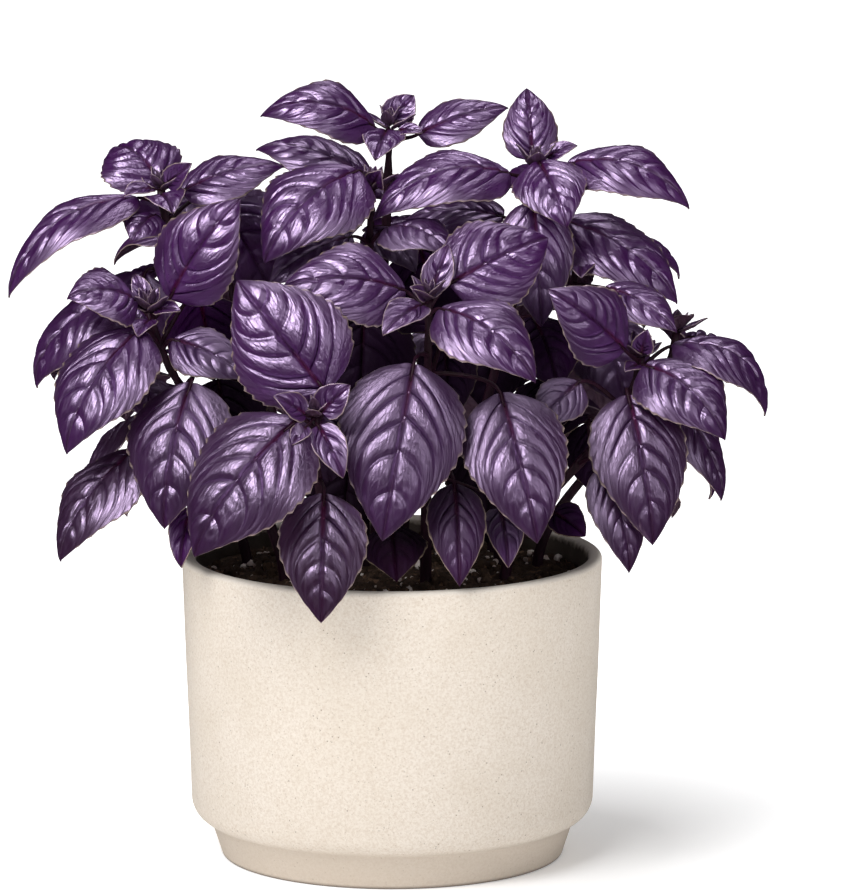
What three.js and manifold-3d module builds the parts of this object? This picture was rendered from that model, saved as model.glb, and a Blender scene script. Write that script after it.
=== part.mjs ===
// A potted purple basil: a cream stoneware pot, its soil and the leafy stems that stand in the soil.
// Millimetres, +Z up. The origin is the middle of the pot's underside, and -Y is the front.
import * as THREE from 'three';
import { mergeVertices } from 'three/addons/utils/BufferGeometryUtils.js';
import Module from 'manifold-3d';

const wasm = await Module();
wasm.setup();

// The pot: a short foot, a rounded chamfer above it, and a wall that flares slightly to the rim.
const POT_HEIGHT = 109;
const RIM_RADIUS = 75;
const RIM_ROUNDING = 1.9;
const WALL_THICKNESS = 5;
const FOOT_HEIGHT = 12.6;
const FOOT_UNDERSIDE_RADIUS = 61.3;
const FOOT_TOP_RADIUS = 65;
const FOOT_EDGE_ROUNDING = 1.2;
const CHAMFER_HEIGHT = 8.6;
const CHAMFER_RADIUS = 71.9;
const CHAMFER_START_DEGREES = -75;
const ROUNDING_STEPS = 2;
const CHAMFER_STEPS = 3;
const FLOOR_THICKNESS = 8;
const FLOOR_RADIUS = 60;
const POT_SEGMENTS = 32;

// The soil: a low mound that ends a little below the rim.
const SOIL_EDGE_HEIGHT = 100.6;
const SOIL_MOUND = 2.2;
const SOIL_RELIEF = 0.5;
const SOIL_RINGS = 2;
const SOIL_SEGMENTS = 24;
const TOUCHING_GAP = 0.35;

// The stems: they stand upright in round holes, and lean and taper above the soil.
const STEM_FOOT_HEIGHT = 72;
const STEM_START_HEIGHT = 100;
const STEM_UPRIGHT_SHARE = 0.35;
const STEM_SIDES = 4;
const STEM_STEPS = 5;
const STEM_TIP_RADIUS = 1.1;
const HOLE_SIDES = 8;

// The leaf stalks.
const STALK_RADIUS = 1.0;
const SMALL_STALK_RADIUS = 0.6;
const STALK_TIP_SHARE = 0.65;
const STALK_SIDE_SHARE = 0.87;
const STALK_EDGE_SHARE = 0.5;
const STALK_BEND = 0.3;
const LARGE_STALK_STEPS = 2;
const SMALL_STALK_STEPS = 1;

// The blades: widest a little below the middle, with forward-pointing teeth.
const BLADE_THICKNESS = 0.7;
const WIDEST_AT = 0.38;
const BASE_SQUARENESS = 2.4;
const BASE_ROUNDNESS = 0.45;
const TIP_FULLNESS = 1.7;
const TOOTH_START = 0.05;
const TOOTH_END = 0.97;
const TOOTH_PEAK = 0.75;
const NOTCH_SHARE = 0.95;
const PEAK_SHARE = 1.05;
const LARGE_BLADE_WIDTH = 18;
const MOST_TEETH = 5;
const FEWEST_TEETH = 2;
const WIDTH_PER_TOOTH = 11;
const LARGE_SPINE_STEPS = 3;
const SMALL_SPINE_STEPS = 2;
const LARGE_EDGE_DROP = 0.24;
const SMALL_EDGE_DROP = -0.2;
const EDGE_WAVE = 0.05;
const EDGE_WAVE_TURNS = 1.7;

// Each leafy stem has its root in the soil, the point that bows it, its top, the radius of its foot,
// and its leaves. A leaf's row says how far up the stem its stalk leaves, where its blade begins and
// ends, how wide it is, which way its upper face looks, and how high its midrib arches.
const LEAFY_STEMS = {
  leafy_stem_upper_left: {
    root: [-34, 12], bow: [-80, 10, 200], top: [-82, 10, 238], radius: 2.2,
    leaves: [
      [1.0, [-85, 8, 239], [-95, 0, 238], 9, [0, -0.5, 1], 1],
      [1.0, [-80, 8, 240], [-71, 2, 249], 9, [0, -1, 0.5], 1],
      [0.98, [-82, 6, 237], [-77, -9, 233], 15, [0, -0.6, 1], 2],
      [0.96, [-90, 6, 236], [-137, -10, 203], 29, [-0.5, -0.5, 1], 12],
      [0.96, [-75, 12, 237], [-38, 22, 246], 24, [0.1, -0.6, 1], 4],
      [0.98, [-82, 13, 240], [-101, 36, 249], 32, [0.1, -0.8, 1], 7],
      [0.88, [-84, 4, 230], [-92, -12, 223], 18, [0, -0.8, 0.8], 3],
      [0.86, [-80, 20, 228], [-80, 60, 222], 30, [0, 0.3, 1], 7],
      [0.6, [-64, 20, 190], [-70, 50, 174], 28, [-0.1, 0.6, 1], 5],
      [0.7, [-84, 18, 208], [-104, 34, 190], 26, [-0.5, -0.3, 1], 4],
      [0.9, [-62, 30, 232], [-44, 38, 198], 38, [0.1, -1, 0.3], 4],
      [0.7, [-88, 14, 208], [-96, 18, 174], 30, [-0.3, -1, 0.4], 4],
      [0.5, [-62, 5, 171], [-57, -3, 138], 32, [0, -1, 0.3], 4],
    ],
  },
  leafy_stem_top_middle: {
    root: [-6, 36], bow: [-2, 40, 215], top: [-1, 40, 256], radius: 2.3,
    leaves: [
      [1.0, [-1, 42, 258], [8, 44, 268], 12, [0, -1, 0.3], 1],
      [1.0, [2, 36, 256], [11, 32, 256], 7, [0, -0.7, 1], 1],
      [1.0, [-2, 37, 256], [-6, 20, 248], 16, [0, -1, 0.7], 2],
      [0.97, [-6, 36, 257], [-48, 28, 263], 26, [-0.2, -0.8, 0.8], 11],
      [0.97, [9, 40, 254], [42, 44, 264], 20, [0.1, -0.7, 0.8], 3],
      [0.8, [-1, 52, 230], [-5, 94, 225], 32, [0, 0.3, 1], 7],
      [0.88, [-8, 42, 237], [-50, 54, 248], 28, [0, -0.5, 1], 6],
      [0.86, [10, 48, 238], [48, 70, 230], 30, [0.1, 0.2, 1], 6],
      [0.74, [-8, 26, 222], [9, 8, 209], 20, [0.2, -0.6, 1], 4],
      [0.62, [2, 48, 198], [24, 74, 188], 28, [0.3, 0.5, 1], 5],
      [0.55, [-12, 44, 184], [-42, 52, 172], 28, [-0.4, 0.3, 1], 5],
      [0.76, [-2, 50, 220], [12, 78, 210], 30, [0.1, 0.5, 1], 5],
      [0.68, [10, 32, 215], [17, 31, 180], 31, [0, -1, 0.2], 3],
    ],
  },
  leafy_stem_centre: {
    root: [-10, 6], bow: [-9, 6, 200], top: [-7, 7, 239], radius: 2.2,
    leaves: [
      [1.0, [-6, 5, 241], [-4, -3, 247], 8, [0, -1, 0.4], 1],
      [1.0, [-12, 3, 246], [-46, -22, 217], 40, [-0.5, -1, 0.6], 9],
      [0.9, [-8, 14, 232], [-44, 26, 216], 32, [-0.2, -0.6, 1], 6],
      [0.66, [-18, -2, 200], [-50, -12, 184], 28, [-0.3, -0.6, 1], 5],
      [0.46, [-4, -6, 166], [10, -32, 148], 26, [0.1, -0.8, 0.8], 4],
      [0.84, [-2, -2, 226], [22, -20, 220], 28, [0.1, -0.4, 1], 5],
      [0.84, [-14, 0, 223], [-44, -12, 208], 28, [-0.2, -0.7, 1], 4],
      [0.5, [-10, -3, 197], [-11, -10, 158], 38, [0, -1, 0.3], 4],
      [0.3, [-14, -4, 150], [-18, -12, 114], 34, [0, -1, 0.3], 4],
    ],
  },
  leafy_stem_top_right: {
    root: [24, 4], bow: [50, 10, 200], top: [51, 12, 246], radius: 2.2,
    leaves: [
      [1.0, [50, 14, 248], [48, 30, 273], 20, [0, -1, 0.5], 3],
      [1.0, [55, 15, 249], [66, 14, 254], 8, [0, -0.8, 1], 1],
      [1.0, [52, 7, 249], [62, -17, 229], 27, [0, -0.9, 0.8], 4],
      [0.97, [62, 12, 247], [107, 4, 233], 31, [0.2, -0.6, 1], 10],
      [0.97, [42, 10, 244], [-8, -4, 230], 33, [-0.2, -0.6, 1], 11],
      [0.88, [52, 22, 238], [60, 66, 234], 32, [0, 0.3, 1], 7],
      [0.84, [40, 20, 227], [3, 34, 224], 25, [0, -0.5, 1], 4],
      [0.6, [50, 0, 194], [59, -24, 172], 30, [0.1, -0.8, 0.9], 4],
      [0.7, [52, 24, 208], [70, 48, 196], 28, [0.3, 0.5, 1], 5],
      [0.6, [39, 22, 194], [33, 20, 156], 36, [0, -1, 0.3], 4],
      [0.86, [50, 0, 236], [53, -12, 192], 27, [0.1, -1, 0.4], 4],
      [0.36, [34, -4, 150], [34, -12, 114], 30, [0, -1, 0.3], 4],
    ],
  },
  leafy_stem_left: {
    root: [-38, -16], bow: [-80, -18, 165], top: [-85, -20, 199], radius: 2.2,
    leaves: [
      [1.0, [-86, -19, 202], [-91, -14, 212], 7, [0, -1, 0.5], 1],
      [1.0, [-83, -22, 200], [-74, -28, 201], 8, [0, -0.7, 1], 1],
      [1.0, [-85, -25, 197], [-89, -35, 193], 9, [-0.2, -0.7, 1], 1],
      [0.97, [-78, -20, 204], [-53, -26, 241], 33, [-0.2, -1, 0.4], 6],
      [0.97, [-90, -20, 203], [-114, -34, 207], 28, [-0.3, -1, 1], 5],
      [0.93, [-94, -4, 202], [-128, -8, 170], 38, [-1, -0.6, 0.8], 9],
      [0.88, [-88, -28, 194], [-115, -48, 153], 39, [-0.6, -1, 0.7], 8],
      [0.86, [-77, -25, 190], [-50, -36, 178], 22, [0.1, -0.9, 0.8], 4],
      [0.7, [-90, -28, 151], [-118, -42, 114], 35, [-0.8, -0.8, 0.8], 6],
      [0.72, [-70, -38, 177], [-80, -58, 128], 39, [-0.4, -1, 0.3], 6],
      [0.4, [-70, -40, 133], [-74, -50, 113], 12, [-0.5, -1, 0.6], 2],
      [0.5, [-60, -28, 152], [-52, -54, 134], 24, [0.1, -0.8, 0.8], 4],
      [0.8, [-76, -12, 184], [-60, 6, 176], 26, [0.2, 0.3, 1], 4],
      [0.88, [-68, -6, 202], [-63, 0, 170], 30, [0.1, -1, 0.3], 4],
    ],
  },
  leafy_stem_front_upper: {
    root: [12, -22], bow: [13, -46, 170], top: [13, -50, 208], radius: 2.3,
    leaves: [
      [1.0, [14, -49, 211], [20, -44, 227], 11, [0, -1, 0.4], 1],
      [1.0, [12, -52, 209], [7, -57, 214], 6, [0, -1, 0.8], 0.5],
      [1.0, [11, -54, 207], [-3, -68, 199], 14, [-0.3, -1, 0.9], 2],
      [0.97, [5, -48, 211], [-39, -58, 214], 33, [-0.1, -1, 0.8], 8],
      [0.97, [20, -46, 213], [56, -30, 228], 35, [0.1, -1, 0.6], 4],
      [0.95, [17, -56, 206], [51, -78, 184], 32, [0.3, -1, 0.9], 8],
      [0.82, [8, -64, 188], [-3, -86, 129], 44, [0, -1, 0.35], 6],
      [0.76, [38, -60, 177], [51, -84, 128], 37, [0.1, -1, 0.35], 6],
      [0.5, [22, -60, 145], [24, -78, 112], 21, [0.1, -1, 0.5], 3],
      [0.4, [38, -48, 134], [41, -64, 116], 14, [0.2, -1, 0.5], 2],
      [0.3, [0, -48, 128], [2, -68, 112], 24, [0, -1, 0.9], 3],
      [0.86, [14, -38, 196], [20, -10, 188], 28, [0, 0.4, 1], 5],
      [0.7, [19, -28, 190], [20, -26, 160], 22, [0, -1, 0.2], 3],
    ],
  },
  leafy_stem_front_lower: {
    root: [-22, -44], bow: [-26, -76, 140], top: [-26, -80, 172], radius: 2.1,
    leaves: [
      [1.0, [-24, -82, 174], [-14, -84, 184], 12, [0, -1, 0.5], 1],
      [1.0, [-29, -83, 173], [-40, -88, 181], 10, [0, -1, 0.8], 1],
      [1.0, [-29, -88, 170], [-34, -95, 165], 7, [0, -0.8, 1], 0.5],
      [0.98, [-25, -85, 170], [-16, -94, 153], 12, [0.2, -1, 0.4], 2],
      [0.97, [-22, -77, 180], [-54, -64, 218], 43, [-0.2, -1, 0.35], 4],
      [0.95, [-32, -86, 172], [-69, -98, 126], 45, [-0.4, -1, 0.6], 8],
      [0.72, [-23, -84, 146], [-24, -96, 102], 31, [0, -1, 0.2], 5],
      [0.93, [-25, -67, 173], [-21, -58, 144], 26, [0, -1, 0.3], 4],
    ],
  },
  leafy_stem_right: {
    root: [40, -14], bow: [84, -18, 150], top: [88, -20, 183], radius: 2.2,
    leaves: [
      [1.0, [88, -23, 185], [90, -27, 194], 8, [0, -1, 0.5], 1],
      [1.0, [87, -24, 181], [82, -31, 180], 6, [0, -0.8, 1], 0.5],
      [0.98, [82, -28, 187], [55, -42, 211], 28, [-0.2, -1, 0.6], 5],
      [0.97, [89, -26, 181], [118, -46, 158], 33, [0.4, -1, 0.8], 8],
      [0.94, [99, -14, 186], [134, -20, 162], 36, [0.5, -0.3, 1], 12],
      [0.84, [99, -10, 165], [118, -18, 131], 24, [1, -0.8, 0.5], 5],
      [0.86, [83, -34, 172], [92, -52, 121], 35, [0.2, -1, 0.4], 6],
      [0.55, [75, -38, 147], [84, -50, 111], 22, [0.5, -1, 0.6], 4],
      [0.8, [66, -32, 176], [50, -46, 163], 18, [0, -1, 0.6], 2],
      [0.7, [70, -10, 160], [52, -4, 146], 24, [-0.2, 0, 1], 4],
      [0.62, [70, -8, 158], [76, -4, 128], 22, [0, -1, 0.3], 3],
      [0.25, [57, -18, 127], [69, -22, 119], 13, [0, -1, 0.6], 2],
    ],
  },
  leafy_stem_right_middle: {
    root: [38, 14], bow: [64, 14, 180], top: [66, 14, 214], radius: 2.1,
    leaves: [
      [1.0, [67, 4, 213], [67, -9, 210], 10, [0, -0.6, 1], 1],
      [0.98, [60, 18, 226], [103, 4, 199], 37, [0.5, -0.7, 0.9], 7],
      [0.9, [75, -8, 206], [101, -24, 193], 22, [0.3, -0.8, 0.9], 4],
      [0.84, [70, 24, 198], [92, 44, 184], 28, [0.5, 0.4, 1], 5],
      [0.62, [56, 4, 172], [54, -22, 153], 24, [0, -0.8, 0.9], 4],
      [0.5, [60, 24, 162], [74, 46, 144], 26, [0.5, 0.5, 0.9], 5],
      [0.8, [74, 10, 192], [84, 4, 160], 30, [0.1, -1, 0.3], 4],
    ],
  },
  leafy_stem_back_left: {
    root: [-32, 38], bow: [-60, 70, 175], top: [-62, 74, 212], radius: 2.2,
    leaves: [
      [1.0, [-60, 72, 214], [-52, 66, 222], 9, [0, 0, 1], 1],
      [1.0, [-64, 76, 214], [-71, 82, 221], 9, [0, 0, 1], 1],
      [0.97, [-68, 78, 211], [-104, 94, 200], 32, [-0.4, 0.2, 1], 7],
      [0.97, [-54, 77, 211], [-16, 88, 204], 32, [0.2, 0.2, 1], 7],
      [0.88, [-64, 82, 200], [-70, 122, 174], 38, [0, 0.7, 1], 8],
      [0.76, [-70, 68, 182], [-112, 62, 160], 34, [-0.6, 0.1, 1], 7],
      [0.64, [-52, 76, 166], [-34, 112, 136], 38, [0.2, 0.9, 0.8], 7],
      [0.45, [-50, 58, 150], [-80, 70, 124], 32, [-0.7, 0.5, 0.8], 5],
    ],
  },
  leafy_stem_back: {
    root: [4, 54], bow: [12, 92, 160], top: [14, 96, 194], radius: 2.1,
    leaves: [
      [1.0, [15, 94, 196], [20, 88, 205], 9, [0, 0, 1], 1],
      [1.0, [12, 98, 196], [6, 104, 203], 9, [0, 0, 1], 1],
      [0.97, [14, 102, 194], [12, 136, 176], 34, [0, 0.7, 1], 7],
      [0.92, [22, 96, 186], [60, 104, 168], 36, [0.4, 0.5, 1], 7],
      [0.92, [6, 98, 186], [-28, 118, 172], 34, [-0.3, 0.6, 1], 7],
      [0.66, [16, 94, 158], [34, 120, 122], 38, [0.2, 1, 0.6], 7],
      [0.5, [2, 84, 144], [-6, 106, 104], 34, [-0.1, 1, 0.5], 5],
      [0.36, [14, 72, 136], [36, 90, 113], 28, [0.4, 0.8, 0.8], 4],
      [0.8, [14, 82, 176], [16, 56, 166], 28, [0, -0.2, 1], 4],
    ],
  },
  leafy_stem_back_right: {
    root: [36, 36], bow: [68, 64, 176], top: [72, 68, 212], radius: 2.2,
    leaves: [
      [1.0, [71, 66, 214], [66, 60, 221], 9, [0, 0, 1], 1],
      [1.0, [74, 70, 214], [81, 77, 219], 9, [0, 0, 1], 1],
      [0.97, [79, 70, 212], [106, 68, 198], 30, [0.4, 0, 1], 6],
      [0.9, [70, 76, 206], [64, 114, 188], 36, [0, 0.6, 1], 8],
      [0.84, [80, 66, 191], [108, 80, 166], 34, [0.6, 0.2, 1], 8],
      [0.62, [66, 66, 166], [78, 100, 134], 38, [0.4, 0.9, 0.8], 7],
      [0.42, [54, 58, 146], [82, 76, 120], 30, [0.6, 0.6, 0.8], 5],
      [0.8, [62, 66, 190], [36, 76, 178], 28, [-0.4, 0.4, 1], 5],
    ],
  },
  leafy_stem_far_right: {
    root: [52, 14], bow: [98, 26, 150], top: [102, 28, 184], radius: 2.1,
    leaves: [
      [1.0, [103, 27, 186], [107, 20, 192], 9, [0, 0, 1], 1],
      [0.96, [108, 30, 182], [128, 46, 164], 30, [0.7, 0.3, 1], 6],
      [0.84, [98, 36, 166], [96, 72, 142], 34, [0.2, 0.7, 1], 7],
      [0.7, [98, 24, 154], [116, 22, 124], 32, [1, 0, 0.7], 6],
      [0.5, [84, 28, 138], [103, 50, 113], 28, [0.8, 0.5, 0.8], 5],
    ],
  },
  leafy_stem_far_left: {
    root: [-52, 16], bow: [-96, 30, 150], top: [-99, 32, 182], radius: 2.1,
    leaves: [
      [1.0, [-100, 30, 184], [-104, 22, 190], 9, [0, 0, 1], 1],
      [0.96, [-104, 34, 181], [-124, 48, 164], 28, [-0.7, 0.3, 1], 6],
      [0.84, [-96, 40, 168], [-98, 78, 144], 34, [-0.2, 0.7, 1], 7],
      [0.68, [-92, 26, 154], [-112, 22, 120], 32, [-1, 0, 0.7], 6],
      [0.5, [-80, 30, 138], [-98, 46, 114], 28, [-0.8, 0.5, 0.8], 5],
      [0.84, [-92, 22, 168], [-84, 2, 156], 26, [0, -0.3, 1], 4],
    ],
  },
};

// The colours and finish of each kind of piece.
const STONEWARE = new THREE.MeshStandardMaterial({ color: 0xe8dccb, roughness: 0.62, metalness: 0 });
const POTTING_MIX = new THREE.MeshStandardMaterial({ color: 0x2b211c, roughness: 0.95, metalness: 0 });
const PURPLE_LEAF = new THREE.MeshStandardMaterial({ color: 0x4a1f3a, roughness: 0.42, metalness: 0 });

// Turns a mesh's triangles into a solid that can be joined or cut.
function solidOf(geometry) {
  const bare = geometry.clone();
  bare.deleteAttribute('normal');
  bare.deleteAttribute('uv');
  const merged = mergeVertices(bare);
  const mesh = new wasm.Mesh({
    numProp: 3,
    vertProperties: new Float32Array(merged.attributes.position.array),
    triVerts: new Uint32Array(merged.index.array),
  });
  return new wasm.Manifold(mesh);
}

function geometryOf(solid) {
  const mesh = solid.getMesh();
  const geometry = new THREE.BufferGeometry();
  geometry.setAttribute('position', new THREE.BufferAttribute(mesh.vertProperties, 3));
  geometry.setIndex(new THREE.BufferAttribute(mesh.triVerts, 1));
  return geometry;
}

function indexedGeometry(points, triangles) {
  const geometry = new THREE.BufferGeometry();
  const flat = points.flatMap((point) => point.toArray());
  geometry.setAttribute('position', new THREE.BufferAttribute(new Float32Array(flat), 3));
  geometry.setIndex(triangles);
  return geometry;
}

const vector = (values) => new THREE.Vector3(...values);

function named(name, geometry, material) {
  const mesh = new THREE.Mesh(geometry, material);
  mesh.name = name;
  return mesh;
}

// A rounding about a centre, from one angle to another in degrees, as points of a profile.
function arc(x, y, radius, [from, to], steps) {
  return Array.from({ length: steps + 1 }, (_, i) => {
    const angle = THREE.MathUtils.degToRad(from + ((to - from) * i) / steps);
    return new THREE.Vector2(x + radius * Math.cos(angle), y + radius * Math.sin(angle));
  });
}

// Turned about Z: a lathe turns its profile about Y, so it is stood up.
function turned(profile, segments) {
  const geometry = new THREE.LatheGeometry(profile, segments);
  geometry.rotateX(Math.PI / 2);
  return geometry;
}

// The wall's inner radius at a height, which the soil follows too.
function innerRadius(height) {
  const share = (height - FLOOR_THICKNESS) / (POT_HEIGHT - FLOOR_THICKNESS);
  return THREE.MathUtils.lerp(FLOOR_RADIUS, RIM_RADIUS - WALL_THICKNESS, share);
}

function pot() {
  const innerRim = RIM_RADIUS - WALL_THICKNESS;
  const rimCentre = POT_HEIGHT - RIM_ROUNDING;
  const rimOuter = arc(RIM_RADIUS - RIM_ROUNDING, rimCentre, RIM_ROUNDING, [0, 90], ROUNDING_STEPS);
  const rimInner = arc(innerRim + RIM_ROUNDING, rimCentre, RIM_ROUNDING, [90, 180], ROUNDING_STEPS);
  const chamfer = arc(
    CHAMFER_RADIUS - CHAMFER_HEIGHT,
    FOOT_HEIGHT + CHAMFER_HEIGHT,
    CHAMFER_HEIGHT,
    [CHAMFER_START_DEGREES, 0],
    CHAMFER_STEPS,
  );
  const profile = [
    new THREE.Vector2(0, 0),
    new THREE.Vector2(FOOT_UNDERSIDE_RADIUS - FOOT_EDGE_ROUNDING, 0),
    new THREE.Vector2(FOOT_UNDERSIDE_RADIUS, FOOT_EDGE_ROUNDING),
    new THREE.Vector2(FOOT_TOP_RADIUS, FOOT_HEIGHT),
    ...chamfer,
    ...rimOuter,
    ...rimInner,
    new THREE.Vector2(FLOOR_RADIUS, FLOOR_THICKNESS),
    new THREE.Vector2(0, FLOOR_THICKNESS),
  ];
  return named('pot', turned(profile, POT_SEGMENTS), STONEWARE);
}

// The soil's surface is a mound with gentle bumps that die out at the wall.
function soilTop(x, y, edgeRadius) {
  const share = Math.min(1, Math.hypot(x, y) / edgeRadius);
  const bumps = Math.sin(x * 0.21 + 1) * Math.cos(y * 0.17) + 0.6 * Math.sin((x - y) * 0.33);
  return SOIL_EDGE_HEIGHT + (SOIL_MOUND + SOIL_RELIEF * bumps) * (1 - share * share);
}

function soil(stems) {
  const edgeRadius = innerRadius(SOIL_EDGE_HEIGHT) - TOUCHING_GAP;
  const bottom = FLOOR_THICKNESS + TOUCHING_GAP;
  const profile = [
    new THREE.Vector2(0, bottom),
    new THREE.Vector2(innerRadius(bottom) - TOUCHING_GAP, bottom),
  ];
  for (let ring = SOIL_RINGS; ring >= 0; ring -= 1) {
    profile.push(new THREE.Vector2((edgeRadius * ring) / SOIL_RINGS, SOIL_EDGE_HEIGHT));
  }
  const geometry = turned(profile, SOIL_SEGMENTS);
  const position = geometry.attributes.position;
  for (let i = 0; i < position.count; i += 1) {
    if (position.getZ(i) > bottom + 1) {
      position.setZ(i, soilTop(position.getX(i), position.getY(i), edgeRadius));
    }
  }
  let solid = solidOf(geometry);
  for (const { root, radius } of stems) {
    const clearRadius = (radius + TOUCHING_GAP) / Math.cos(Math.PI / HOLE_SIDES);
    const depth = POT_HEIGHT - STEM_FOOT_HEIGHT + TOUCHING_GAP;
    const hole = new THREE.CylinderGeometry(clearRadius, clearRadius, depth, HOLE_SIDES);
    hole.rotateX(Math.PI / 2);
    hole.translate(root[0], root[1], POT_HEIGHT - depth / 2);
    solid = solid.subtract(solidOf(hole));
  }
  return named('soil', geometryOf(solid), POTTING_MIX);
}

// A closed tube through a list of points, with a radius at each, its frames carried along the route.
function taperedTube(points, radii, sides) {
  const vertices = [];
  const triangles = [];
  let across = new THREE.Vector3(1, 0, 0);
  points.forEach((point, i) => {
    const before = points[Math.max(0, i - 1)];
    const after = points[Math.min(points.length - 1, i + 1)];
    const along = after.clone().sub(before).normalize();
    if (Math.abs(along.dot(across)) > 0.9) {
      across = new THREE.Vector3(0, 1, 0);
    }
    across = across.clone().addScaledVector(along, -across.dot(along)).normalize();
    const beside = new THREE.Vector3().crossVectors(along, across);
    for (let side = 0; side < sides; side += 1) {
      const angle = (2 * Math.PI * side) / sides;
      vertices.push(
        point.clone()
          .addScaledVector(across, radii[i] * Math.cos(angle))
          .addScaledVector(beside, radii[i] * Math.sin(angle)),
      );
    }
  });
  for (let ring = 0; ring < points.length - 1; ring += 1) {
    for (let side = 0; side < sides; side += 1) {
      const next = (side + 1) % sides;
      const a = ring * sides + side;
      const b = ring * sides + next;
      triangles.push(a, b, b + sides, a, b + sides, a + sides);
    }
  }
  const lastRing = (points.length - 1) * sides;
  for (let side = 1; side < sides - 1; side += 1) {
    triangles.push(0, side + 1, side);
    triangles.push(lastRing, lastRing + side, lastRing + side + 1);
  }
  return indexedGeometry(vertices, triangles);
}

function stemCurve({ root, bow, top }) {
  const start = new THREE.Vector3(root[0], root[1], STEM_START_HEIGHT);
  const upright = start.clone();
  upright.z += STEM_UPRIGHT_SHARE * (top[2] - STEM_START_HEIGHT);
  return new THREE.CubicBezierCurve3(start, upright, vector(bow), vector(top));
}

function stemTube(stem) {
  const curve = stemCurve(stem);
  const points = [new THREE.Vector3(stem.root[0], stem.root[1], STEM_FOOT_HEIGHT)];
  const radii = [stem.radius];
  for (let step = 0; step <= STEM_STEPS; step += 1) {
    const share = step / STEM_STEPS;
    points.push(curve.getPoint(share));
    radii.push(THREE.MathUtils.lerp(stem.radius, STEM_TIP_RADIUS, share));
  }
  return taperedTube(points, radii, STEM_SIDES);
}

// A leaf's own frame: its midrib is a shallow arch from the blade's base to its tip.
function leafFrame([at, base, tip, width, face, arch]) {
  const from = vector(base);
  const to = vector(tip);
  const along = to.clone().sub(from).normalize();
  const up = vector(face);
  up.addScaledVector(along, -up.dot(along)).normalize();
  const side = new THREE.Vector3().crossVectors(along, up);
  const crown = from.clone().add(to).multiplyScalar(0.5).addScaledVector(up, 2 * arch);
  const midrib = new THREE.QuadraticBezierCurve3(from, crown, to);
  const large = width >= LARGE_BLADE_WIDTH;
  return { at, midrib, side, width, large };
}

// The half width at a share of the blade's length: a round base, then nearly straight flanks.
function outlineShare(u) {
  if (u < WIDEST_AT) {
    return (1 - ((WIDEST_AT - u) / WIDEST_AT) ** BASE_SQUARENESS) ** BASE_ROUNDNESS;
  }
  return 1 - ((u - WIDEST_AT) / (1 - WIDEST_AT)) ** TIP_FULLNESS;
}

// The places of the teeth along one edge: a notch, then a peak that points to the tip.
function toothPlaces(teeth) {
  const step = (TOOTH_END - TOOTH_START) / teeth;
  const places = [];
  for (let tooth = 0; tooth < teeth; tooth += 1) {
    const start = TOOTH_START + tooth * step;
    places.push([start, NOTCH_SHARE], [start + TOOTH_PEAK * step, PEAK_SHARE]);
  }
  return places;
}

// The stalk leaves the stem and bends into the line of the midrib. Each of its sections has a place
// in the middle and one on either side, as the blade has, so that stalk and blade are one skin.
function stalkSections({ at, midrib, side, large }, curve) {
  const start = curve.getPoint(at);
  const end = midrib.getPoint(0);
  const bend = end.clone().addScaledVector(midrib.getTangent(0), -STALK_BEND * start.distanceTo(end));
  const route = new THREE.QuadraticBezierCurve3(start, bend, end);
  const steps = large ? LARGE_STALK_STEPS : SMALL_STALK_STEPS;
  const thick = large ? STALK_RADIUS : SMALL_STALK_RADIUS;
  const sections = [];
  let beside = side.clone();
  for (let step = steps; step >= 0; step -= 1) {
    const share = step / steps;
    const along = route.getTangent(share);
    beside = beside.clone().addScaledVector(along, -beside.dot(along)).normalize();
    const normal = new THREE.Vector3().crossVectors(beside, along).normalize();
    const centre = route.getPoint(share);
    const radius = thick * THREE.MathUtils.lerp(1, STALK_TIP_SHARE, share);
    const [left, middle, right] = [-1, 0, 1].map((sign) => ({
      u: share - 1,
      point: centre.clone().addScaledVector(beside, sign * STALK_SIDE_SHARE * radius),
      normal,
      half: sign === 0 ? radius : STALK_EDGE_SHARE * radius,
    }));
    sections.unshift({ left, middle, right });
  }
  return sections;
}

// The places that a leaf's skin goes through, each with its face's normal and half its thickness,
// and the three rows that they lie in: the spine and the two toothed edges, which meet at the tip.
function leafPlaces(leaf, curve, phase) {
  const { midrib, side, width, large } = leaf;
  const teeth = THREE.MathUtils.clamp(Math.round(width / WIDTH_PER_TOOTH), FEWEST_TEETH, MOST_TEETH);
  const spineSteps = large ? LARGE_SPINE_STEPS : SMALL_SPINE_STEPS;
  const drop = large ? LARGE_EDGE_DROP : SMALL_EDGE_DROP;
  const places = [];
  const keep = (place) => places.push(place) - 1;
  const onBlade = (u, across) => {
    const normal = new THREE.Vector3().crossVectors(side, midrib.getTangent(u)).normalize();
    const wave = EDGE_WAVE * Math.sin(2 * Math.PI * EDGE_WAVE_TURNS * u + phase + Math.sign(across));
    const point = midrib.getPoint(u)
      .addScaledVector(side, 0.5 * width * across)
      .addScaledVector(normal, 0.5 * width * Math.abs(across) * (wave - drop));
    return keep({ u, point, normal, half: 0.5 * BLADE_THICKNESS });
  };
  const sections = stalkSections(leaf, curve);
  const spine = sections.map(({ middle }) => keep(middle));
  const left = sections.map((section) => keep(section.left));
  const right = sections.map((section) => keep(section.right));
  for (let step = 1; step < spineSteps; step += 1) {
    spine.push(onBlade(step / spineSteps, 0));
  }
  for (const [u, share] of toothPlaces(teeth)) {
    left.push(onBlade(u, -share * outlineShare(u)));
    right.push(onBlade(u, share * outlineShare(u)));
  }
  const tip = onBlade(1, 0);
  for (const row of [spine, left, right]) {
    row.push(tip);
  }
  return { places, spine, left, right };
}

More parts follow.
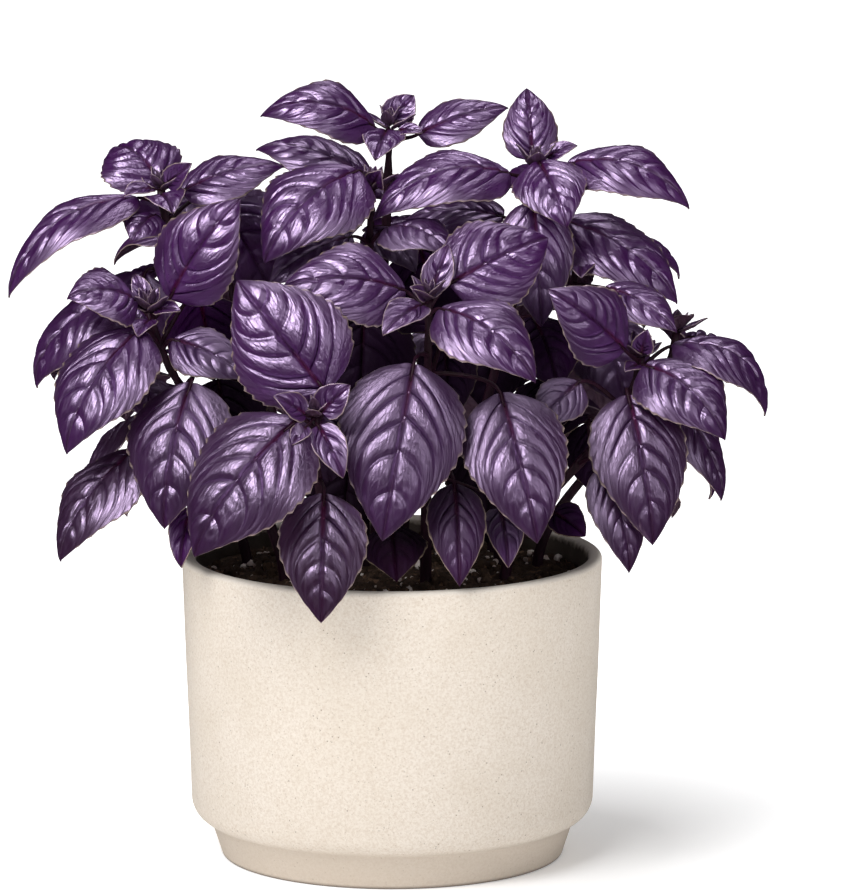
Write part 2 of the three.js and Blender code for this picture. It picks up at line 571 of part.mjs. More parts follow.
// A leaf as one closed skin. The upper and the lower face share one split into triangles, which
// advances along spine and edge by whichever comes next, and walls and an end cap close it.
function leafGeometry(leaf, curve, phase) {
  const { places, spine, left, right } = leafPlaces(leaf, curve, phase);
  const upper = places.map((place) => place.point.clone().addScaledVector(place.normal, place.half));
  const lower = places.map((place) => place.point.clone().addScaledVector(place.normal, -place.half));
  const count = places.length;
  const triangles = [];
  const addFaces = (a, b, c) => triangles.push(a, b, c, a + count, c + count, b + count);
  const addWall = (a, b) => triangles.push(a, a + count, b + count, a, b + count, b);
  const reach = (row, next) => (next < row.length ? places[row[next]].u : Infinity);
  for (const edge of [left, right]) {
    let i = 0;
    let j = 0;
    while (i < spine.length - 1 || j < edge.length - 1) {
      const onSpine = spine[i];
      const onEdge = edge[j];
      const spineFirst = reach(spine, i + 1) < reach(edge, j + 1);
      i += spineFirst ? 1 : 0;
      j += spineFirst ? 0 : 1;
      const next = spineFirst ? spine[i] : edge[j];
      if (next === onSpine || next === onEdge) {
        continue;
      }
      if (edge === left) {
        addFaces(onEdge, onSpine, next);
      } else {
        addFaces(onSpine, onEdge, next);
      }
    }
  }
  for (let k = 0; k < right.length - 1; k += 1) {
    addWall(right[k], right[k + 1]);
    addWall(left[k + 1], left[k]);
  }
  const [m, l, r] = [spine[0], left[0], right[0]];
  triangles.push(r, m, l, r, l, l + count, r, l + count, m + count, r, m + count, r + count);
  return indexedGeometry([...upper, ...lower], triangles);
}

function leafyStem(name, stem) {
  const curve = stemCurve(stem);
  let solid = solidOf(stemTube(stem));
  stem.leaves.forEach((row, index) => {
    solid = solid.add(solidOf(leafGeometry(leafFrame(row), curve, index)));
  });
  return named(name, geometryOf(solid), PURPLE_LEAF);
}

const basil = new THREE.Group();
basil.add(pot());
basil.add(soil(Object.values(LEAFY_STEMS)));
for (const [name, stem] of Object.entries(LEAFY_STEMS)) {
  basil.add(leafyStem(name, stem));
}

export default basil;
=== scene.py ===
import math

import bpy
import numpy as np
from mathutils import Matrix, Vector

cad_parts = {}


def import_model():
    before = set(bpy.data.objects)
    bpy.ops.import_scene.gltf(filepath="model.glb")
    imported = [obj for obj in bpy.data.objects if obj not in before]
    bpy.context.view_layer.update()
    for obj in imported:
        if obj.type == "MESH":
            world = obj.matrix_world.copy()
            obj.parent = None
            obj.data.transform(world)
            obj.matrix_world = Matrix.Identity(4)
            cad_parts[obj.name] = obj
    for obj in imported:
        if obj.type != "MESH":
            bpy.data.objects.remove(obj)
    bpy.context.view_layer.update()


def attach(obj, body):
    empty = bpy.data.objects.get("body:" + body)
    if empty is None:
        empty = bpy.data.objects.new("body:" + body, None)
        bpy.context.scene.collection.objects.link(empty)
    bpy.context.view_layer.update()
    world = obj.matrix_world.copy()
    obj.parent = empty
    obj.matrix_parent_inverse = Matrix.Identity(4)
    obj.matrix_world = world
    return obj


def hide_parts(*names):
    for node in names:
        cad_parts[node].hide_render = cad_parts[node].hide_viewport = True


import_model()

MM = 0.001
BODY = "root"

# The camera: it looks along +Y and down, from far off.
CAMERA_PLACE = (14.8, -2600, 610)
CAMERA_DOWN_DEGREES = 10.1
FOCAL_PIXELS = 7413
IMAGE_LONG_SIDE = 896
SENSOR_SIZE = 36

# The studio: three soft lights, a sky that is greyer overhead, and a white floor that glows less
# close to its shaded place beside the pot.
LIGHTS_AIM = (0, 0, 150)
LIGHTS = {
    "key_light": {"place": (-1000, -1500, 1900), "size": 1400, "power": 45},
    "top_light": {"place": (300, 700, 2200), "size": 1000, "power": 9},
    "front_light": {"place": (1500, -2100, 1200), "size": 1400, "power": 10},
}
SKY_LOW = (0.62, 0.62, 0.62)
SKY_MIDDLE = (0.62, 0.62, 0.63)
SKY_HIGH = (0.2, 0.2, 0.21)
SKY_STOPS = ((0.0, SKY_LOW), (0.52, SKY_MIDDLE), (0.76, SKY_HIGH), (1.0, SKY_HIGH))
FLOOR_SIZE = 16000
FLOOR_COLOURS = ((0.9, 0.9, 0.9), (0.92, 0.92, 0.92))
FLOOR_SHADE_MIDDLE = (45, 10, 0)
FLOOR_GLOW_FROM_TO = (55, 190)
FLOOR_GLOW = (0.2, 0.95)

# The pot: a short foot, a rounded chamfer above it, and a wall that flares slightly to the rim.
POT_HEIGHT = 109
RIM_RADIUS = 75
RIM_ROUNDING = 1.9
WALL_THICKNESS = 5
FOOT_HEIGHT = 12.6
FOOT_UNDERSIDE_RADIUS = 61.3
FOOT_TOP_RADIUS = 65
FOOT_EDGE_ROUNDING = 1.2
CHAMFER_HEIGHT = 8.6
CHAMFER_RADIUS = 71.9
CHAMFER_START_DEGREES = -75
FLOOR_THICKNESS = 8
FLOOR_RADIUS = 60
POT_SIDES = 192
WALL_STEP = 3
FOOT_EDGE_STEPS = 5
CHAMFER_STEPS = 12
RIM_STEPS = 7
POT_UNEVENNESS = 0.12

# The stoneware: cream with two tones, a fine grain, and three sizes of specks, each with its scale,
# its radius, its strength and its colour.
STONEWARE_COLOURS = ((0.655, 0.588, 0.505), (0.69, 0.625, 0.548))
STONEWARE_GRAIN = (0.52, 0.425, 0.335)
SPECKS = (
    (0.9, 0.24, 0.6, (0.36, 0.28, 0.21)),
    (0.45, 0.15, 0.75, (0.2, 0.15, 0.11)),
    (1.6, 0.3, 0.4, (0.45, 0.37, 0.29)),
)
# Painted light on the rim's top, which is painted paler.
RIM_PAINTED_LIGHT = (0.84, 0.78, 0.70)
# Painted shade on the foot, under the chamfer.
FOOT_PAINTED_SHADE = (0.50, 0.42, 0.34)
# A dark line at the lowest edge of the foot: partly painted shadow where it meets the floor, partly wear.
UNDERSIDE_EDGE_SHADOW_AND_WEAR = (0.12, 0.09, 0.07)

# Painted shade on the pot's inside above the soil: where it fades out upward, and toward the rim's top.
INSIDE_SHADE_HEIGHTS = (106, 108.6)
INSIDE_SHADE_RADII = (70.3, 71.2)
INSIDE_SHADE_LOWEST = 60
INSIDE_PAINTED_SHADE = (0.035, 0.02, 0.013)

# The soil: a low mound that ends a little below the rim, with crumbs and perlite on it: how many
# there are, their smallest and largest radius, and how stretched they may be.
SOIL_SEED = 40
PERLITE_SEED = 41
SOIL_EDGE_HEIGHT = 100.6
SOIL_MOUND = 2.2
SOIL_RELIEF = 0.5
SOIL_GAP = 0.35
SOIL_SKIRT = 14
SOIL_RINGS = 76
SOIL_SIDES = 280
SOIL_ROUGHNESS = 1.1
SOIL_LUMPS = (18, 5, 14)
SOIL_CRUMBLE = (40, 1.4, 4)
SOIL_EDGE_CALM = 3
LARGE_GRAIN_SHARE = 0.35
GRAIN_RISE = (0.0, 0.8)
GRAIN_DENTS = (0.72, 1.15)
GRAIN_RINGS = 5
GRAIN_SIDES = 8
CRUMBS = (620, (0.7, 2.2), 1.5)
PERLITE_GRAINS = (190, (0.7, 1.8), 1.25)
SOIL_COLOURS = ((0.018, 0.011, 0.008), (0.10, 0.058, 0.036))
CRUMB_COLOUR = (0.24, 0.14, 0.085)
PERLITE_COLOURS = ((0.85, 0.78, 0.74), (0.55, 0.42, 0.38))

# The stems: square in section with rounded corners, upright in the soil, leaning above it.
STEM_FOOT_HEIGHT = 84
STEM_START_HEIGHT = 100
STEM_UPRIGHT_SHARE = 0.35
STEM_TIP_RADIUS = 1.1
STEM_RINGS = 26
STEM_SIDES = 12
STEM_SQUARENESS = 0.14
NODE_SWELLING = 0.35
NODE_LENGTH = 0.02
STALK_TIP_SHARE = 0.65
STALK_END_SHARE = 0.4
STALK_BEND = 0.3
STALK_RINGS = 8
STALK_SIDES = 8
STALK_INTO_BLADE = 0.05
STALK_COLOURS = ((0.012, 0.002, 0.008), (0.035, 0.006, 0.02))
STALK_MOTTLE = (0.022, 0.01, 0.01)

# What differs between wide blades and narrow ones: the steps of the grid, the edge's drop, the
# relief, how far the teeth of one side are ahead, where the veins start, and the stalk.
LARGE_BLADE_WIDTH = 18
LARGE = {
    "row_step": 0.75, "column_step": 1.45, "edge_drop": 0.24, "relief": 1, "tooth_offset": 0.35,
    "vein_starts": (0.045, 0.17, 0.33, 0.52, 0.72), "stalk_radius": 0.9,
}
SMALL = {
    "row_step": 0.65, "column_step": 0.85, "edge_drop": -0.2, "relief": 1.8, "tooth_offset": 0.175,
    "vein_starts": (0.05, 0.2, 0.45), "stalk_radius": 0.5,
}

# The blades: the outline and the arch of the plain solids, in a fine grid whose rows run along the
# side veins.
WIDEST_AT = 0.38
BASE_SQUARENESS = 2.4
BASE_ROUNDNESS = 0.45
TIP_FULLNESS = 1.7
CAMBER = 0.45
EDGE_WAVE = 0.05
EDGE_WAVE_TURNS = 1.7
TIP_DROOP = 0.05
TIP_DROOP_START = 0.75
ROWS = (13, 84)
COLUMNS = (5, 16)
COLUMNS_AT_MIDRIB = 0.6
MARGIN_COLUMN = 0.45
BLADE_THICKNESS = 0.5
EDGE_THICKNESS = 0.3
EDGE_THINNING = 4
PATTERN_RANGE = 1000

# The side veins: how their rows leave the midrib and bend to the edge, where they fade out toward
# the edge, and how strong and how deep they are.
VEIN_SWEEP = 5
VEIN_SLANT = 0.35
VEIN_CURVE = 2.4
ROW_SHARE_OF_MIDRIB = 0.45
VEINS_FADE = (0.9, 0.5)
VEIN_WOBBLE = 0.010
VEIN_WOBBLE_WAVES = (7, 2.3)
VEIN_HALF_ROWS = 1.3
VEIN_STRENGTHS = (0.55, 1.1)
VEIN_THICKNESS = 0.35
CREASE_DEPTH = 0.014

# The relief between the veins: lobes that start beside the midrib and flatten toward the tip, and
# small puckers on them.
LOBE_HEIGHT = 0.036
LOBE_HEIGHTS = (0.7, 1.2)
FIRST_LOBE_SHARE = 0.6
LOBE_LEAN = 0.8
LOBE_FULLNESS = 0.5
LOBE_START = 0.16
LOBE_STEEPNESS = 0.6
LOBE_FADING = 0.6
PUCKER_HEIGHT = 0.004
PUCKER_WAVES = 12
PUCKER_LENGTHS = (2.4, 5)

# The midrib: a groove above, a rib below.
MIDRIB_DEPTH = 0.022
MIDRIB_REACH = 0.9
MIDRIB_FADING = 0.7
RIB_HALF_WIDTH = 1.3
RIB_THICKNESS = 0.9
RIB_FADING = 0.8
RIB_FULL_WIDTH = 30
DARK_FADING = 0.5
ROSE_LENGTH = 0.35

# The teeth along each edge, which point forward.
WIDTH_PER_TOOTH = 3.8
TEETH = (4, 11)
TOOTH_START = 0.05
TOOTH_END = 0.97
TOOTH_PEAK = 0.72
TOOTH_DEPTH = 0.025
TOOTH_ROOT = 8

# A leaf's age by the height of its middle and by its width.
YOUNG_HEIGHT = 232
AGEING_HEIGHT = 115
AGEING_WIDTH = 26

# The middle of the bush, its reach each way, where in it the leaves go from dull with painted shade to
# fresh, and how far inside a leaf is wholly dull, in the shaded copy of the material.
BUSH_MIDDLE = (0, 0, 150)
BUSH_REACH = (125, 112, 112)
BUSH_LIT = (0.45, 0.82)
SHADED_FROM = 0.6

# The small leaves that hang lowest, dull partly with age and partly as painted shade from the bush
# above: how low their middles are, and how narrow they are.
LOW_HEIGHT = 132
LOW_WIDTH = 26

# The smallest leaves, in crossed pairs round each stem's growing tip.
BUD_PAIRS = 4
BUD_LENGTH = (10.5, 4)
BUD_LENGTH_SHARES = (0.85, 1.15)
BUD_WIDTH_SHARE = 0.62
BUD_LEAN_DEGREES = (56, 10)
BUD_START = 0.5
BUD_PAIR_STEP = 1.1
BUD_ARCH = -0.05

# The materials of a foliage piece, in the order of its slots: fresh blades, stems and stalks, blades
# in the shade and blades low down. The blades' are told apart by index of refraction and gloss: the
# shaded copy's low gloss is painted shade, and the low copy's is partly painted shade, partly age.
FRESH, STALK, SHADED, LOW = range(4)
FRESH_GLOSS = (2.28, 1.0)
SHADED_GLOSS = (1.4, 0.3)
LOW_GLOSS = (1.7, 0.7)
LEAF_SHEEN = (0.86, 0.66, 1.0, 1)
YOUNG_LEAF = (0.060, 0.003, 0.092)
GROWN_LEAF = (0.024, 0.0012, 0.032)
OLD_LEAF = (0.026, 0.005, 0.018)
LEAF_BLOTCH = (0.008, 0.001, 0.009)
LEAF_FLECK = (0.04, 0.005, 0.06)
# Painted shade in the vein creases and along the midrib.
CREASE_PAINTED_SHADE = (0.006, 0.001, 0.006)
LEAF_MIDRIB = (0.03, 0.002, 0.018)
LEAF_ROSE = (0.2, 0.008, 0.085)
LEAF_BAND = (0.035, 0.012, 0.03)
LEAF_MARGIN = (0.5, 0.38, 0.25)
LEAF_UNDERSIDE = (0.03, 0.007, 0.015)
LEAF_UNDER_VEIN = (0.07, 0.02, 0.03)
# Painted shade for blades deep inside the bush.
LEAF_PAINTED_SHADE = (0.003, 0.0005, 0.002)

# Each leafy stem: its root in the soil, the point that bows it, its top, the radius of its foot, and
# its leaves. A leaf's row says how far up the stem its stalk leaves, where its blade begins and ends,
# how wide it is, which way its upper face looks, and how high its midrib arches.
LEAFY_STEMS = {
    "upper_left": ((-34, 12), (-80, 10, 200), (-82, 10, 238), 2.2, [
        (1.0, (-85, 8, 239), (-95, 0, 238), 9, (0, -0.5, 1), 1),
        (1.0, (-80, 8, 240), (-71, 2, 249), 9, (0, -1, 0.5), 1),
        (0.98, (-82, 6, 237), (-77, -9, 233), 15, (0, -0.6, 1), 2),
        (0.96, (-90, 6, 236), (-137, -10, 203), 29, (-0.5, -0.5, 1), 12),
        (0.96, (-75, 12, 237), (-38, 22, 246), 24, (0.1, -0.6, 1), 4),
        (0.98, (-82, 13, 240), (-101, 36, 249), 32, (0.1, -0.8, 1), 7),
        (0.88, (-84, 4, 230), (-92, -12, 223), 18, (0, -0.8, 0.8), 3),
        (0.86, (-80, 20, 228), (-80, 60, 222), 30, (0, 0.3, 1), 7),
        (0.6, (-64, 20, 190), (-70, 50, 174), 28, (-0.1, 0.6, 1), 5),
        (0.7, (-84, 18, 208), (-104, 34, 190), 26, (-0.5, -0.3, 1), 4),
        (0.9, (-62, 30, 232), (-44, 38, 198), 38, (0.1, -1, 0.3), 4),
        (0.7, (-88, 14, 208), (-96, 18, 174), 30, (-0.3, -1, 0.4), 4),
        (0.5, (-62, 5, 171), (-57, -3, 138), 32, (0, -1, 0.3), 4),
    ]),
    "top_middle": ((-6, 36), (-2, 40, 215), (-1, 40, 256), 2.3, [
        (1.0, (-1, 42, 258), (8, 44, 268), 12, (0, -1, 0.3), 1),
        (1.0, (2, 36, 256), (11, 32, 256), 7, (0, -0.7, 1), 1),
        (1.0, (-2, 37, 256), (-6, 20, 248), 16, (0, -1, 0.7), 2),
        (0.97, (-6, 36, 257), (-48, 28, 263), 26, (-0.2, -0.8, 0.8), 11),
        (0.97, (9, 40, 254), (42, 44, 264), 20, (0.1, -0.7, 0.8), 3),
        (0.8, (-1, 52, 230), (-5, 94, 225), 32, (0, 0.3, 1), 7),
        (0.88, (-8, 42, 237), (-50, 54, 248), 28, (0, -0.5, 1), 6),
        (0.86, (10, 48, 238), (48, 70, 230), 30, (0.1, 0.2, 1), 6),
        (0.74, (-8, 26, 222), (9, 8, 209), 20, (0.2, -0.6, 1), 4),
        (0.62, (2, 48, 198), (24, 74, 188), 28, (0.3, 0.5, 1), 5),
        (0.55, (-12, 44, 184), (-42, 52, 172), 28, (-0.4, 0.3, 1), 5),
        (0.76, (-2, 50, 220), (12, 78, 210), 30, (0.1, 0.5, 1), 5),
        (0.68, (10, 32, 215), (17, 31, 180), 31, (0, -1, 0.2), 3),
    ]),
    "centre": ((-10, 6), (-9, 6, 200), (-7, 7, 239), 2.2, [
        (1.0, (-6, 5, 241), (-4, -3, 247), 8, (0, -1, 0.4), 1),
        (1.0, (-12, 3, 246), (-46, -22, 217), 40, (-0.5, -1, 0.6), 9),
        (0.9, (-8, 14, 232), (-44, 26, 216), 32, (-0.2, -0.6, 1), 6),
        (0.66, (-18, -2, 200), (-50, -12, 184), 28, (-0.3, -0.6, 1), 5),
        (0.46, (-4, -6, 166), (10, -32, 148), 26, (0.1, -0.8, 0.8), 4),
        (0.84, (-2, -2, 226), (22, -20, 220), 28, (0.1, -0.4, 1), 5),
        (0.84, (-14, 0, 223), (-44, -12, 208), 28, (-0.2, -0.7, 1), 4),
        (0.5, (-10, -3, 197), (-11, -10, 158), 38, (0, -1, 0.3), 4),
        (0.3, (-14, -4, 150), (-18, -12, 114), 34, (0, -1, 0.3), 4),
    ]),
    "top_right": ((24, 4), (50, 10, 200), (51, 12, 246), 2.2, [
        (1.0, (50, 14, 248), (48, 30, 273), 20, (0, -1, 0.5), 3),
        (1.0, (55, 15, 249), (66, 14, 254), 8, (0, -0.8, 1), 1),
        (1.0, (52, 7, 249), (62, -17, 229), 27, (0, -0.9, 0.8), 4),
        (0.97, (62, 12, 247), (107, 4, 233), 31, (0.2, -0.6, 1), 10),
        (0.97, (42, 10, 244), (-8, -4, 230), 33, (-0.2, -0.6, 1), 11),
        (0.88, (52, 22, 238), (60, 66, 234), 32, (0, 0.3, 1), 7),
        (0.84, (40, 20, 227), (3, 34, 224), 25, (0, -0.5, 1), 4),
        (0.6, (50, 0, 194), (59, -24, 172), 30, (0.1, -0.8, 0.9), 4),
        (0.7, (52, 24, 208), (70, 48, 196), 28, (0.3, 0.5, 1), 5),
        (0.6, (39, 22, 194), (33, 20, 156), 36, (0, -1, 0.3), 4),
        (0.86, (50, 0, 236), (53, -12, 192), 27, (0.1, -1, 0.4), 4),
        (0.36, (34, -4, 150), (34, -12, 114), 30, (0, -1, 0.3), 4),
    ]),
    "left": ((-38, -16), (-80, -18, 165), (-85, -20, 199), 2.2, [
        (1.0, (-86, -19, 202), (-91, -14, 212), 7, (0, -1, 0.5), 1),
        (1.0, (-83, -22, 200), (-74, -28, 201), 8, (0, -0.7, 1), 1),
        (1.0, (-85, -25, 197), (-89, -35, 193), 9, (-0.2, -0.7, 1), 1),
        (0.97, (-78, -20, 204), (-53, -26, 241), 33, (-0.2, -1, 0.4), 6),
        (0.97, (-90, -20, 203), (-114, -34, 207), 28, (-0.3, -1, 1), 5),
        (0.93, (-94, -4, 202), (-128, -8, 170), 38, (-1, -0.6, 0.8), 9),
        (0.88, (-88, -28, 194), (-115, -48, 153), 39, (-0.6, -1, 0.7), 8),
        (0.86, (-77, -25, 190), (-50, -36, 178), 22, (0.1, -0.9, 0.8), 4),
        (0.7, (-90, -28, 151), (-118, -42, 114), 35, (-0.8, -0.8, 0.8), 6),
        (0.72, (-70, -38, 177), (-80, -58, 128), 39, (-0.4, -1, 0.3), 6),
        (0.4, (-70, -40, 133), (-74, -50, 113), 12, (-0.5, -1, 0.6), 2),
        (0.5, (-60, -28, 152), (-52, -54, 134), 24, (0.1, -0.8, 0.8), 4),
        (0.8, (-76, -12, 184), (-60, 6, 176), 26, (0.2, 0.3, 1), 4),
        (0.88, (-68, -6, 202), (-63, 0, 170), 30, (0.1, -1, 0.3), 4),
    ]),
    "front_upper": ((12, -22), (13, -46, 170), (13, -50, 208), 2.3, [
        (1.0, (14, -49, 211), (20, -44, 227), 11, (0, -1, 0.4), 1),
        (1.0, (12, -52, 209), (7, -57, 214), 6, (0, -1, 0.8), 0.5),
        (1.0, (11, -54, 207), (-3, -68, 199), 14, (-0.3, -1, 0.9), 2),
        (0.97, (5, -48, 211), (-39, -58, 214), 33, (-0.1, -1, 0.8), 8),
        (0.97, (20, -46, 213), (56, -30, 228), 35, (0.1, -1, 0.6), 4),
        (0.95, (17, -56, 206), (51, -78, 184), 32, (0.3, -1, 0.9), 8),
        (0.82, (8, -64, 188), (-3, -86, 129), 44, (0, -1, 0.35), 6),
        (0.76, (38, -60, 177), (51, -84, 128), 37, (0.1, -1, 0.35), 6),
        (0.5, (22, -60, 145), (24, -78, 112), 21, (0.1, -1, 0.5), 3),
        (0.4, (38, -48, 134), (41, -64, 116), 14, (0.2, -1, 0.5), 2),
        (0.3, (0, -48, 128), (2, -68, 112), 24, (0, -1, 0.9), 3),
        (0.86, (14, -38, 196), (20, -10, 188), 28, (0, 0.4, 1), 5),
        (0.7, (19, -28, 190), (20, -26, 160), 22, (0, -1, 0.2), 3),
    ]),
    "front_lower": ((-22, -44), (-26, -76, 140), (-26, -80, 172), 2.1, [
        (1.0, (-24, -82, 174), (-14, -84, 184), 12, (0, -1, 0.5), 1),
        (1.0, (-29, -83, 173), (-40, -88, 181), 10, (0, -1, 0.8), 1),
        (1.0, (-29, -88, 170), (-34, -95, 165), 7, (0, -0.8, 1), 0.5),
        (0.98, (-25, -85, 170), (-16, -94, 153), 12, (0.2, -1, 0.4), 2),
        (0.97, (-22, -77, 180), (-54, -64, 218), 43, (-0.2, -1, 0.35), 4),
        (0.95, (-32, -86, 172), (-69, -98, 126), 45, (-0.4, -1, 0.6), 8),
        (0.72, (-23, -84, 146), (-24, -96, 102), 31, (0, -1, 0.2), 5),
        (0.93, (-25, -67, 173), (-21, -58, 144), 26, (0, -1, 0.3), 4),
    ]),
    "right": ((40, -14), (84, -18, 150), (88, -20, 183), 2.2, [
        (1.0, (88, -23, 185), (90, -27, 194), 8, (0, -1, 0.5), 1),
        (1.0, (87, -24, 181), (82, -31, 180), 6, (0, -0.8, 1), 0.5),
        (0.98, (82, -28, 187), (55, -42, 211), 28, (-0.2, -1, 0.6), 5),
        (0.97, (89, -26, 181), (118, -46, 158), 33, (0.4, -1, 0.8), 8),
        (0.94, (99, -14, 186), (134, -20, 162), 36, (0.5, -0.3, 1), 12),
        (0.84, (99, -10, 165), (118, -18, 131), 24, (1, -0.8, 0.5), 5),
        (0.86, (83, -34, 172), (92, -52, 121), 35, (0.2, -1, 0.4), 6),
        (0.55, (75, -38, 147), (84, -50, 111), 22, (0.5, -1, 0.6), 4),
        (0.8, (66, -32, 176), (50, -46, 163), 18, (0, -1, 0.6), 2),
        (0.7, (70, -10, 160), (52, -4, 146), 24, (-0.2, 0, 1), 4),
        (0.62, (70, -8, 158), (76, -4, 128), 22, (0, -1, 0.3), 3),
        (0.25, (57, -18, 127), (69, -22, 119), 13, (0, -1, 0.6), 2),
    ]),
    "right_middle": ((38, 14), (64, 14, 180), (66, 14, 214), 2.1, [
        (1.0, (67, 4, 213), (67, -9, 210), 10, (0, -0.6, 1), 1),
        (0.98, (60, 18, 226), (103, 4, 199), 37, (0.5, -0.7, 0.9), 7),
        (0.9, (75, -8, 206), (101, -24, 193), 22, (0.3, -0.8, 0.9), 4),
        (0.84, (70, 24, 198), (92, 44, 184), 28, (0.5, 0.4, 1), 5),
        (0.62, (56, 4, 172), (54, -22, 153), 24, (0, -0.8, 0.9), 4),
        (0.5, (60, 24, 162), (74, 46, 144), 26, (0.5, 0.5, 0.9), 5),
        (0.8, (74, 10, 192), (84, 4, 160), 30, (0.1, -1, 0.3), 4),
    ]),
    "back_left": ((-32, 38), (-60, 70, 175), (-62, 74, 212), 2.2, [
        (1.0, (-60, 72, 214), (-52, 66, 222), 9, (0, 0, 1), 1),
        (1.0, (-64, 76, 214), (-71, 82, 221), 9, (0, 0, 1), 1),
        (0.97, (-68, 78, 211), (-104, 94, 200), 32, (-0.4, 0.2, 1), 7),
        (0.97, (-54, 77, 211), (-16, 88, 204), 32, (0.2, 0.2, 1), 7),
        (0.88, (-64, 82, 200), (-70, 122, 174), 38, (0, 0.7, 1), 8),
        (0.76, (-70, 68, 182), (-112, 62, 160), 34, (-0.6, 0.1, 1), 7),
        (0.64, (-52, 76, 166), (-34, 112, 136), 38, (0.2, 0.9, 0.8), 7),
        (0.45, (-50, 58, 150), (-80, 70, 124), 32, (-0.7, 0.5, 0.8), 5),
    ]),
    "back": ((4, 54), (12, 92, 160), (14, 96, 194), 2.1, [
        (1.0, (15, 94, 196), (20, 88, 205), 9, (0, 0, 1), 1),
        (1.0, (12, 98, 196), (6, 104, 203), 9, (0, 0, 1), 1),
        (0.97, (14, 102, 194), (12, 136, 176), 34, (0, 0.7, 1), 7),
        (0.92, (22, 96, 186), (60, 104, 168), 36, (0.4, 0.5, 1), 7),
        (0.92, (6, 98, 186), (-28, 118, 172), 34, (-0.3, 0.6, 1), 7),
        (0.66, (16, 94, 158), (34, 120, 122), 38, (0.2, 1, 0.6), 7),
        (0.5, (2, 84, 144), (-6, 106, 104), 34, (-0.1, 1, 0.5), 5),
        (0.36, (14, 72, 136), (36, 90, 113), 28, (0.4, 0.8, 0.8), 4),
        (0.8, (14, 82, 176), (16, 56, 166), 28, (0, -0.2, 1), 4),
    ]),
    "back_right": ((36, 36), (68, 64, 176), (72, 68, 212), 2.2, [
        (1.0, (71, 66, 214), (66, 60, 221), 9, (0, 0, 1), 1),
        (1.0, (74, 70, 214), (81, 77, 219), 9, (0, 0, 1), 1),
        (0.97, (79, 70, 212), (106, 68, 198), 30, (0.4, 0, 1), 6),
        (0.9, (70, 76, 206), (64, 114, 188), 36, (0, 0.6, 1), 8),
        (0.84, (80, 66, 191), (108, 80, 166), 34, (0.6, 0.2, 1), 8),
        (0.62, (66, 66, 166), (78, 100, 134), 38, (0.4, 0.9, 0.8), 7),
        (0.42, (54, 58, 146), (82, 76, 120), 30, (0.6, 0.6, 0.8), 5),
        (0.8, (62, 66, 190), (36, 76, 178), 28, (-0.4, 0.4, 1), 5),
    ]),
    "far_right": ((52, 14), (98, 26, 150), (102, 28, 184), 2.1, [
        (1.0, (103, 27, 186), (107, 20, 192), 9, (0, 0, 1), 1),
        (0.96, (108, 30, 182), (128, 46, 164), 30, (0.7, 0.3, 1), 6),
        (0.84, (98, 36, 166), (96, 72, 142), 34, (0.2, 0.7, 1), 7),
        (0.7, (98, 24, 154), (116, 22, 124), 32, (1, 0, 0.7), 6),
        (0.5, (84, 28, 138), (103, 50, 113), 28, (0.8, 0.5, 0.8), 5),
    ]),
    "far_left": ((-52, 16), (-96, 30, 150), (-99, 32, 182), 2.1, [
        (1.0, (-100, 30, 184), (-104, 22, 190), 9, (0, 0, 1), 1),
        (0.96, (-104, 34, 181), (-124, 48, 164), 28, (-0.7, 0.3, 1), 6),
        (0.84, (-96, 40, 168), (-98, 78, 144), 34, (-0.2, 0.7, 1), 7),
        (0.68, (-92, 26, 154), (-112, 22, 120), 32, (-1, 0, 0.7), 6),
        (0.5, (-80, 30, 138), (-98, 46, 114), 28, (-0.8, 0.5, 0.8), 5),
        (0.84, (-92, 22, 168), (-84, 2, 156), 26, (0, -0.3, 1), 4),
    ]),
}



# Vectors and curves

def unit(v):
    return v / np.linalg.norm(v, axis=-1, keepdims=True)


def smooth(value, low, high):
    """0 where the value is at low, 1 at high, and an even way between them."""
    share = np.clip((value - low) / (high - low), 0, 1)
    return share**2 * (3 - 2 * share)


def bezier(points, share):
    """Places on a Bezier curve through any number of points, at an array of shares."""
    share = np.asarray(share, float)[..., None]
    degree = len(points) - 1
    return sum(
        math.comb(degree, k) * share**k * (1 - share) ** (degree - k) * np.asarray(point, float)
        for k, point in enumerate(points)
    )


def bezier_way(points, share):
    """The curve's directions at an array of shares."""
    return unit(bezier(np.diff(np.asarray(points, float), axis=0), share))


def rough_field(rng, waves, finest, coarsest):
    """A bumpy field made of many short waves in random directions."""
    lengths = rng.uniform(finest, coarsest, waves)
    ways = rng.uniform(0, 2 * math.pi, waves)
    shifts = rng.uniform(0, 2 * math.pi, waves)

    def height(x, y):
        total = np.zeros_like(x)
        for length, way, shift in zip(lengths, ways, shifts):
            along = x * math.cos(way) + y * math.sin(way)
            total = total + np.sin(2 * math.pi * along / length + shift) * length / coarsest
        return total / math.sqrt(waves)

    return height


# Meshes

